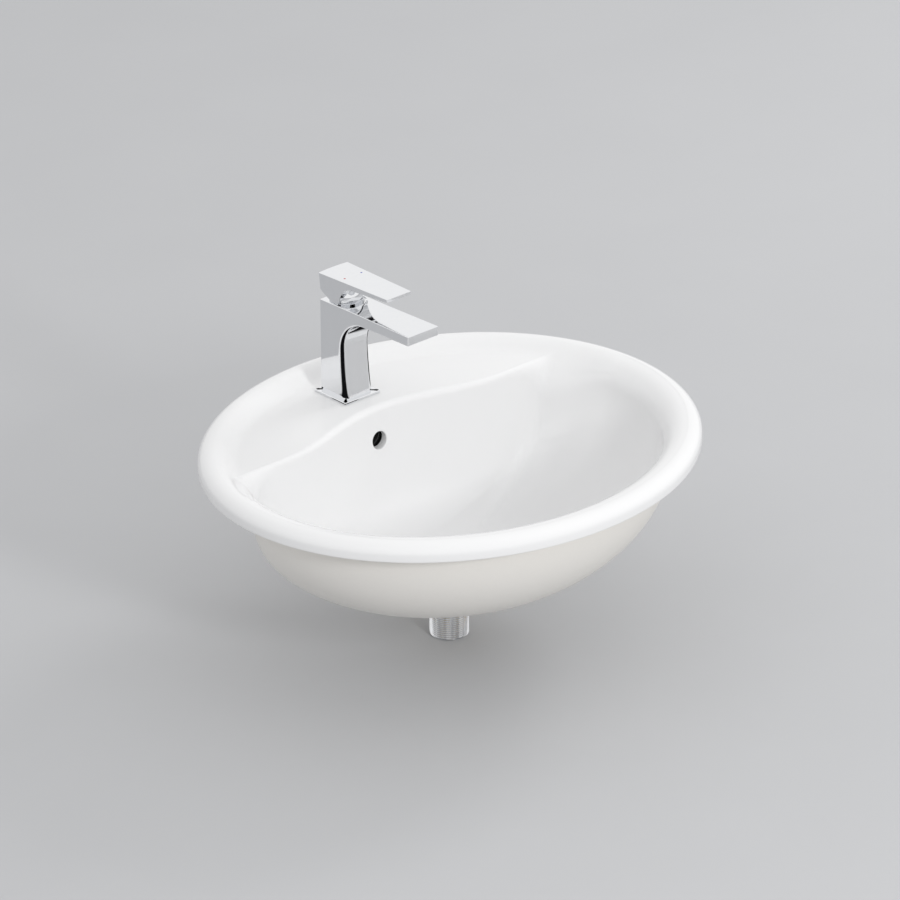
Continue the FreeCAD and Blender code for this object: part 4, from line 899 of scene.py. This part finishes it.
wasteShape = dict(
    y=4.0, columns=96, bore=18.55, mouth=20.5, top=-125.0, coneEnd=-130.0,
    flange=31.5, flangeLow=-127.5, flangeRound=0.8, flangeEdge=0.2,
    crest=20.89, depth=1.25, pitch=2.309, rowsPerPitch=9, threadRoom=0.2, lead=1.2,
    slotTop=-133.0, slotLow=-145.0, slotColumns=5, threadTop=-168.0, low=-215.0,
    endEdge=0.4, groove=19.95, grooveTop=-184.0, grooveLow=-186.0,
    webTop=-161.0, webLow=-166.0, hub=5.0, drain=4.5, drainCircle=12.5, holeSteps=28,
)


# rings up the bore, over the flange and down the thread; slots and a pierced web are let in
def makeWaste():
    ws = SimpleNamespace(**wasteShape)
    count, bore, crest, top, low = ws.columns, ws.bore, ws.crest, ws.top, ws.low
    flange, flangeLow, edge = ws.flange, ws.flangeLow, ws.flangeEdge
    rows = [(bore, z) for z in (ws.webTop, ws.slotLow, ws.slotTop, ws.coneEnd)]
    rows += [(ws.mouth + wide, top - drop) for wide, drop in ((-0.1, 0.25), (0.1, 0.05), (0.4, 0))]
    for turn in radians([0, 22, 45, 68, 90]):
        rows.append((flange - ws.flangeRound * (1 - sin(turn)), top - ws.flangeRound * (1 - cos(turn))))
    rows += [(flange, flangeLow + edge), (flange - edge, flangeLow)]
    rows += [(crest, z) for z in (flangeLow, ws.slotTop, ws.slotLow, ws.threadTop)]
    room = ws.threadRoom
    for z in np.arange(ws.threadTop - room, low + room, -ws.pitch / ws.rowsPerPitch):
        grooved = ws.grooveLow <= z <= ws.grooveTop
        rows.append((ws.groove, z) if grooved else threadRow(z, ws))
    edge = ws.endEdge
    rows += [(crest - ws.lead - 0.1, low), (bore + edge, low), (bore, low + edge), (bore, ws.webLow)]
    points = [roundRows(rows, ws.y, count).reshape(-1, 3)]
    index = np.arange(len(rows) * count).reshape(len(rows), count)
    quads = gridQuads(len(rows), count)
    keep = np.ones(quads.shape[:2], bool)
    level = np.array([row[1] for row in rows])
    lower, upper = (np.where(level == z)[0] for z in (ws.slotLow, ws.slotTop))
    faces = []
    for middle in range(0, count, count // 4):  # four slots, with their walls
        span = np.arange(middle - ws.slotColumns, middle + ws.slotColumns + 1) % count
        keep[lower[0], span[:-1]] = False
        keep[upper[1], span[:-1]] = False
        for pair in (lower, upper):
            wall = index[np.ix_(pair, span)].ravel()
            faces += wall[gridQuads(2, len(span), False, False)].reshape(-1, 4).tolist()
        faces += index[np.ix_([*lower[:1], *upper, *lower[1:]], span[[0, -1]])].T.tolist()
    faces += quads[keep].tolist()
    lowLoops, highLoops = [index[-1]], [index[0]]
    drains = arcSpots((0, ws.y), ws.drainCircle, 0, 300, 6)
    for x, y, radius in [(0, ws.y, ws.hub), *((*spot, ws.drain) for spot in drains)]:
        hole = roundRows([(radius, ws.webLow), (radius, ws.webTop)], y, ws.holeSteps) + [x, 0, 0]
        first, second = addRings(points, faces, hole)
        lowLoops.append(first)
        highLoops.append(second)
    points = np.vstack(points)
    for loops in (lowLoops, highLoops):  # web across the bore
        faces += fillLoops(points[:, :2], loops)
    makePiece("waste_chrome", "fixture", "chrome", points, faces, 38, "waste_body")


makeWaste()
nutShapes = dict(
    waste_back_nut=dict(y=4.0, flats=58.0, hole=20.95, low=-183.0, high=-172.0, stands="waste_nut"),
    stud_nut=dict(y=153.5, flats=13.0, hole=4.0, low=-22.0, high=-10.0, stands="fixing_nut"),
)


# hexagon of the given width over its flats, cut at both ends by a cone of 30 degrees
def makeNut(name, y, flats, hole, low, high, stands, columns=144):
    hexagon = flats / 2 / cos(np.mod(fullTurn(columns), pi / 3) - pi / 6)
    tall = high - low
    face, cone, edge = 0.47 * flats, 0.48 * flats, 0.06 * tall  # end face, its cone, edge of the hole
    rows = [(hole, low + edge), (hole + edge, low), (face, low)]
    near = np.linspace(0, 0.22, 10)
    for share in [*near, *np.linspace(0.3, 0.7, 5), *(1 - near[::-1])]:
        depth = min(share, 1 - share) * tall
        rows.append((np.minimum(hexagon, cone + depth * sqrt(3)), low + share * tall))
    rows += [(face, high), (hole + edge, high), (hole, high - edge)]
    faces = stackFaces(len(rows), columns, True)
    makePiece(name, "fixture", "brass", roundRows(rows, y, columns), faces, 25, stands)


for name, shape in nutShapes.items():
    makeNut(name, **shape)

studShape = dict(
    y=153.5, crest=3.94, depth=0.62, pitch=1.25, rowsPerPitch=9, threadRoom=0.12, lead=0.8,
    low=-50.0, high=20.0, plain=4.0, edge=0.5, tip=0.02, columns=40,
)


# threaded from its low end to where it enters the mixer's foot, plain above
def makeStud():
    ss = SimpleNamespace(**studShape)
    crest, low, high, columns = ss.crest, ss.low, ss.high, ss.columns
    rows = [(ss.tip, low), (crest - ss.lead - 0.1, low)]
    for z in np.arange(low + ss.threadRoom, ss.plain, ss.pitch / ss.rowsPerPitch):
        rows.append(threadRow(z, ss))
    rows += [(crest, ss.plain), (crest, high - ss.edge), (crest - ss.edge, high), (ss.tip, high)]
    faces = stackFaces(len(rows), columns)
    makePiece("mixer_stud", "fixture", "steel", roundRows(rows, ss.y, columns), faces, 38, "fixing_stud")


makeStud()
springShape = dict(
    y=4.0, coil=4.3, wire=0.65, low=-157.9, high=-147.1, turns=6.0, steps=240, around=14,
    flatTurn=0.6, ease=0.25,
)


# a wire circle carried along a helix whose end turns lie flat; it is baked in place, not tied to the plug
def makeSpring():
    ss = SimpleNamespace(**springShape)
    share = np.linspace(0, 1, ss.steps)
    turn = (2 * pi * ss.turns * share)[:, None]
    flatEnd = ss.flatTurn / ss.turns
    climb = (share - flatEnd) / (1 - 2 * flatEnd)
    climb = ss.ease * smoothStep(climb) + (1 - ss.ease) * np.clip(climb, 0, 1)
    z = ss.low + ss.wire + (ss.high - ss.low - 2 * ss.wire) * climb[:, None]
    way = fullTurn(ss.around)[None]
    reach = ss.coil + ss.wire * cos(way)
    grid = np.stack([reach * cos(turn), ss.y + reach * sin(turn), z + ss.wire * sin(way)], -1)
    faces = stackFaces(ss.steps, ss.around)
    ends = [(0, ss.y * mm, end * mm) for end in (ss.low, ss.high)]
    makePiece("click_coil", ("fixture", "plug", *ends), "steel", grid, faces, 50, "click_spring")


makeSpring()
dotShape = dict(body="lever", way=(0, 0.019, 1), radius=1.2, rise=0.22, sunk=0.5)
lensShapes = dict(
    hot_mark=dict(**dotShape, slot="red_enamel", seat=(-11.5, 151.0, 145.62), stands="hot_dot"),
    cold_mark=dict(**dotShape, slot="blue_enamel", seat=(11.5, 151.0, 145.62), stands="cold_dot"),
    rear_cap=dict(body="lever", way=(0, 1, -0.126), radius=2.44, rise=0.3, sunk=1.6,
                  slot="grey_plastic", seat=(0, 183.33, 140.4), stands="screw_cap"),
)


# a low dome on a short rim, turned around a given way out of its seat
def makeLens(name, body, slot, seat, way, radius, rise, sunk, stands, columns=40, tip=0.01):
    turn = radians(np.linspace(0, 90, 9))
    rows = [(radius, -sunk), *zip((radius - 0.25 * rise) * cos(turn), rise * sin(turn))]
    rows[-1] = (tip, rise)
    face = np.array(Vector((0, 0, 1)).rotation_difference(Vector(way)).to_matrix())
    points = roundRows(rows, 0, columns).reshape(-1, 3) @ face.T + np.array(seat)
    makePiece(name, body, slot, points, stackFaces(len(rows), columns), 50, stands)


for name, shape in lensShapes.items():
    makeLens(name, **shape)
print("stage: waste, nuts, stud, spring, marks")


# Floor, light and camera
def makeStage(name, points, faces, material):
    item = addMesh(name, points, faces, material)
    return item


floorShape = dict(size=30.0, gap=0.0005, pale=(0.50, 0.505, 0.515, 1), deep=(0.52, 0.525, 0.535, 1))


def makeFloor():
    size, z = floorShape["size"], cadBox[0].z - floorShape["gap"]
    corners = [(-size, -size, z), (size, -size, z), (size, size, z), (-size, size, z)]
    material = plainFinish("pale_floor", floorShape["pale"], floorShape["deep"], (6, 3), (0.9, 0))
    makeStage("studio_floor", corners, [(0, 1, 2, 3)], material)


cardShape = dict(
    y=0.162, z=0.0095, inner=0.02, outer=0.2, soft=14, columns=33, dark=(0.006, 0.006, 0.007, 1),
    spans=dict(card_left=(178, 264), card_right=(-30, 75)),
)


# dark fan-shaped cards beside the mixer, met only by mirrored rays that come from above
def makeCards():
    cs = SimpleNamespace(**cardShape)
    material, root = newMaterial("dark_card")
    under = root.node("NewGeometry", out="Backfacing")
    dark = root.node("Emission", {"Color": cs.dark, "Strength": 1.0})
    clear = root.node("BsdfTransparent")
    share = pointValue(root, "solid") * (1 - under)
    mixed = root.node("MixShader", {0: share, 1: clear, 2: dark})
    root.node("OutputMaterial", {"Surface": mixed})
    reach = np.array([cs.inner, cs.outer])[:, None]
    faces = gridQuads(2, cs.columns, False, False)[:, :, ::-1].reshape(-1, 4).tolist()
    for name, (first, last) in cs.spans.items():
        place = np.linspace(first, last, cs.columns)
        turn = radians(place)
        grid = np.broadcast_arrays(reach * cos(turn), cs.y + reach * sin(turn), cs.z)
        card = makeStage(name, np.stack(grid, -1).reshape(-1, 3).tolist(), faces, material)
        edge = np.minimum(place - first, last - place)
        setPointValue(card, "solid", np.tile(smoothStep(edge / cs.soft), 2))
        for kind in ("camera", "diffuse", "transmission", "volume_scatter", "shadow"):
            setattr(card, "visible_" + kind, False)


lights = dict(
    key=dict(at=(-0.45, -2.72, 1.26), size=0.5, power=28),
    fill=dict(at=(2.3, 0.2, 1.5), size=0.8, power=14),
)
skyShape = dict(ambient=(0.87, 0.87, 0.875, 1), white=(1, 1, 1, 1))


# lamps aimed at the origin, and a surround that is white for all but diffuse rays
def makeLights():
    for name, lamp in lights.items():
        data = bpy.data.lights.new(name, "AREA")
        data.energy = lamp["power"]
        data.size = lamp["size"]
        item = addObject(name, data)
        item.location = lamp["at"]
        item.rotation_euler = (-Vector(lamp["at"])).to_track_quat("-Z", "Y").to_euler()
        item.visible_glossy = False
    scene.world = bpy.data.worlds.new("studio")
    root = emptyTree(scene.world)
    mirror, clear, seen = (root.node("LightPath", out=f"Is {kind} Ray")
                           for kind in ("Glossy", "Transmission", "Camera"))
    colour = (mirror + clear + seen).between(skyShape["ambient"], skyShape["white"])
    back = root.node("Background", {"Color": colour, "Strength": 1.0})
    root.node("OutputWorld", {"Surface": back})


cameraPlace = dict(
    at=(-3.1794, -3.4901, 2.3202), azimuth=-42.3152, elevation=26.1852, roll=-0.1169,
    focal=5105.3, pixels=900, sensor=36.0, near=0.1, far=100,
)


# stands at its place, turned by its azimuth and elevation and about its own line by the roll
def makeCamera():
    cp = SimpleNamespace(**cameraPlace)
    data = bpy.data.cameras.new("photo_camera")
    data.sensor_width = cp.sensor
    data.lens = cp.focal / cp.pixels * cp.sensor
    data.clip_start = cp.near
    data.clip_end = cp.far
    item = addObject("photo_camera", data)
    turns = [Matrix.Rotation(radians(angle), 4, axis) for angle, axis in (
        (cp.azimuth, "Z"), (90 - cp.elevation, "X"), (cp.roll, "Z"))]
    item.matrix_world = Matrix.Translation(cp.at) @ turns[0] @ turns[1] @ turns[2]
    scene.camera = item


makeFloor()
makeCards()
makeLights()
makeCamera()
print("stage: floor, light, camera")
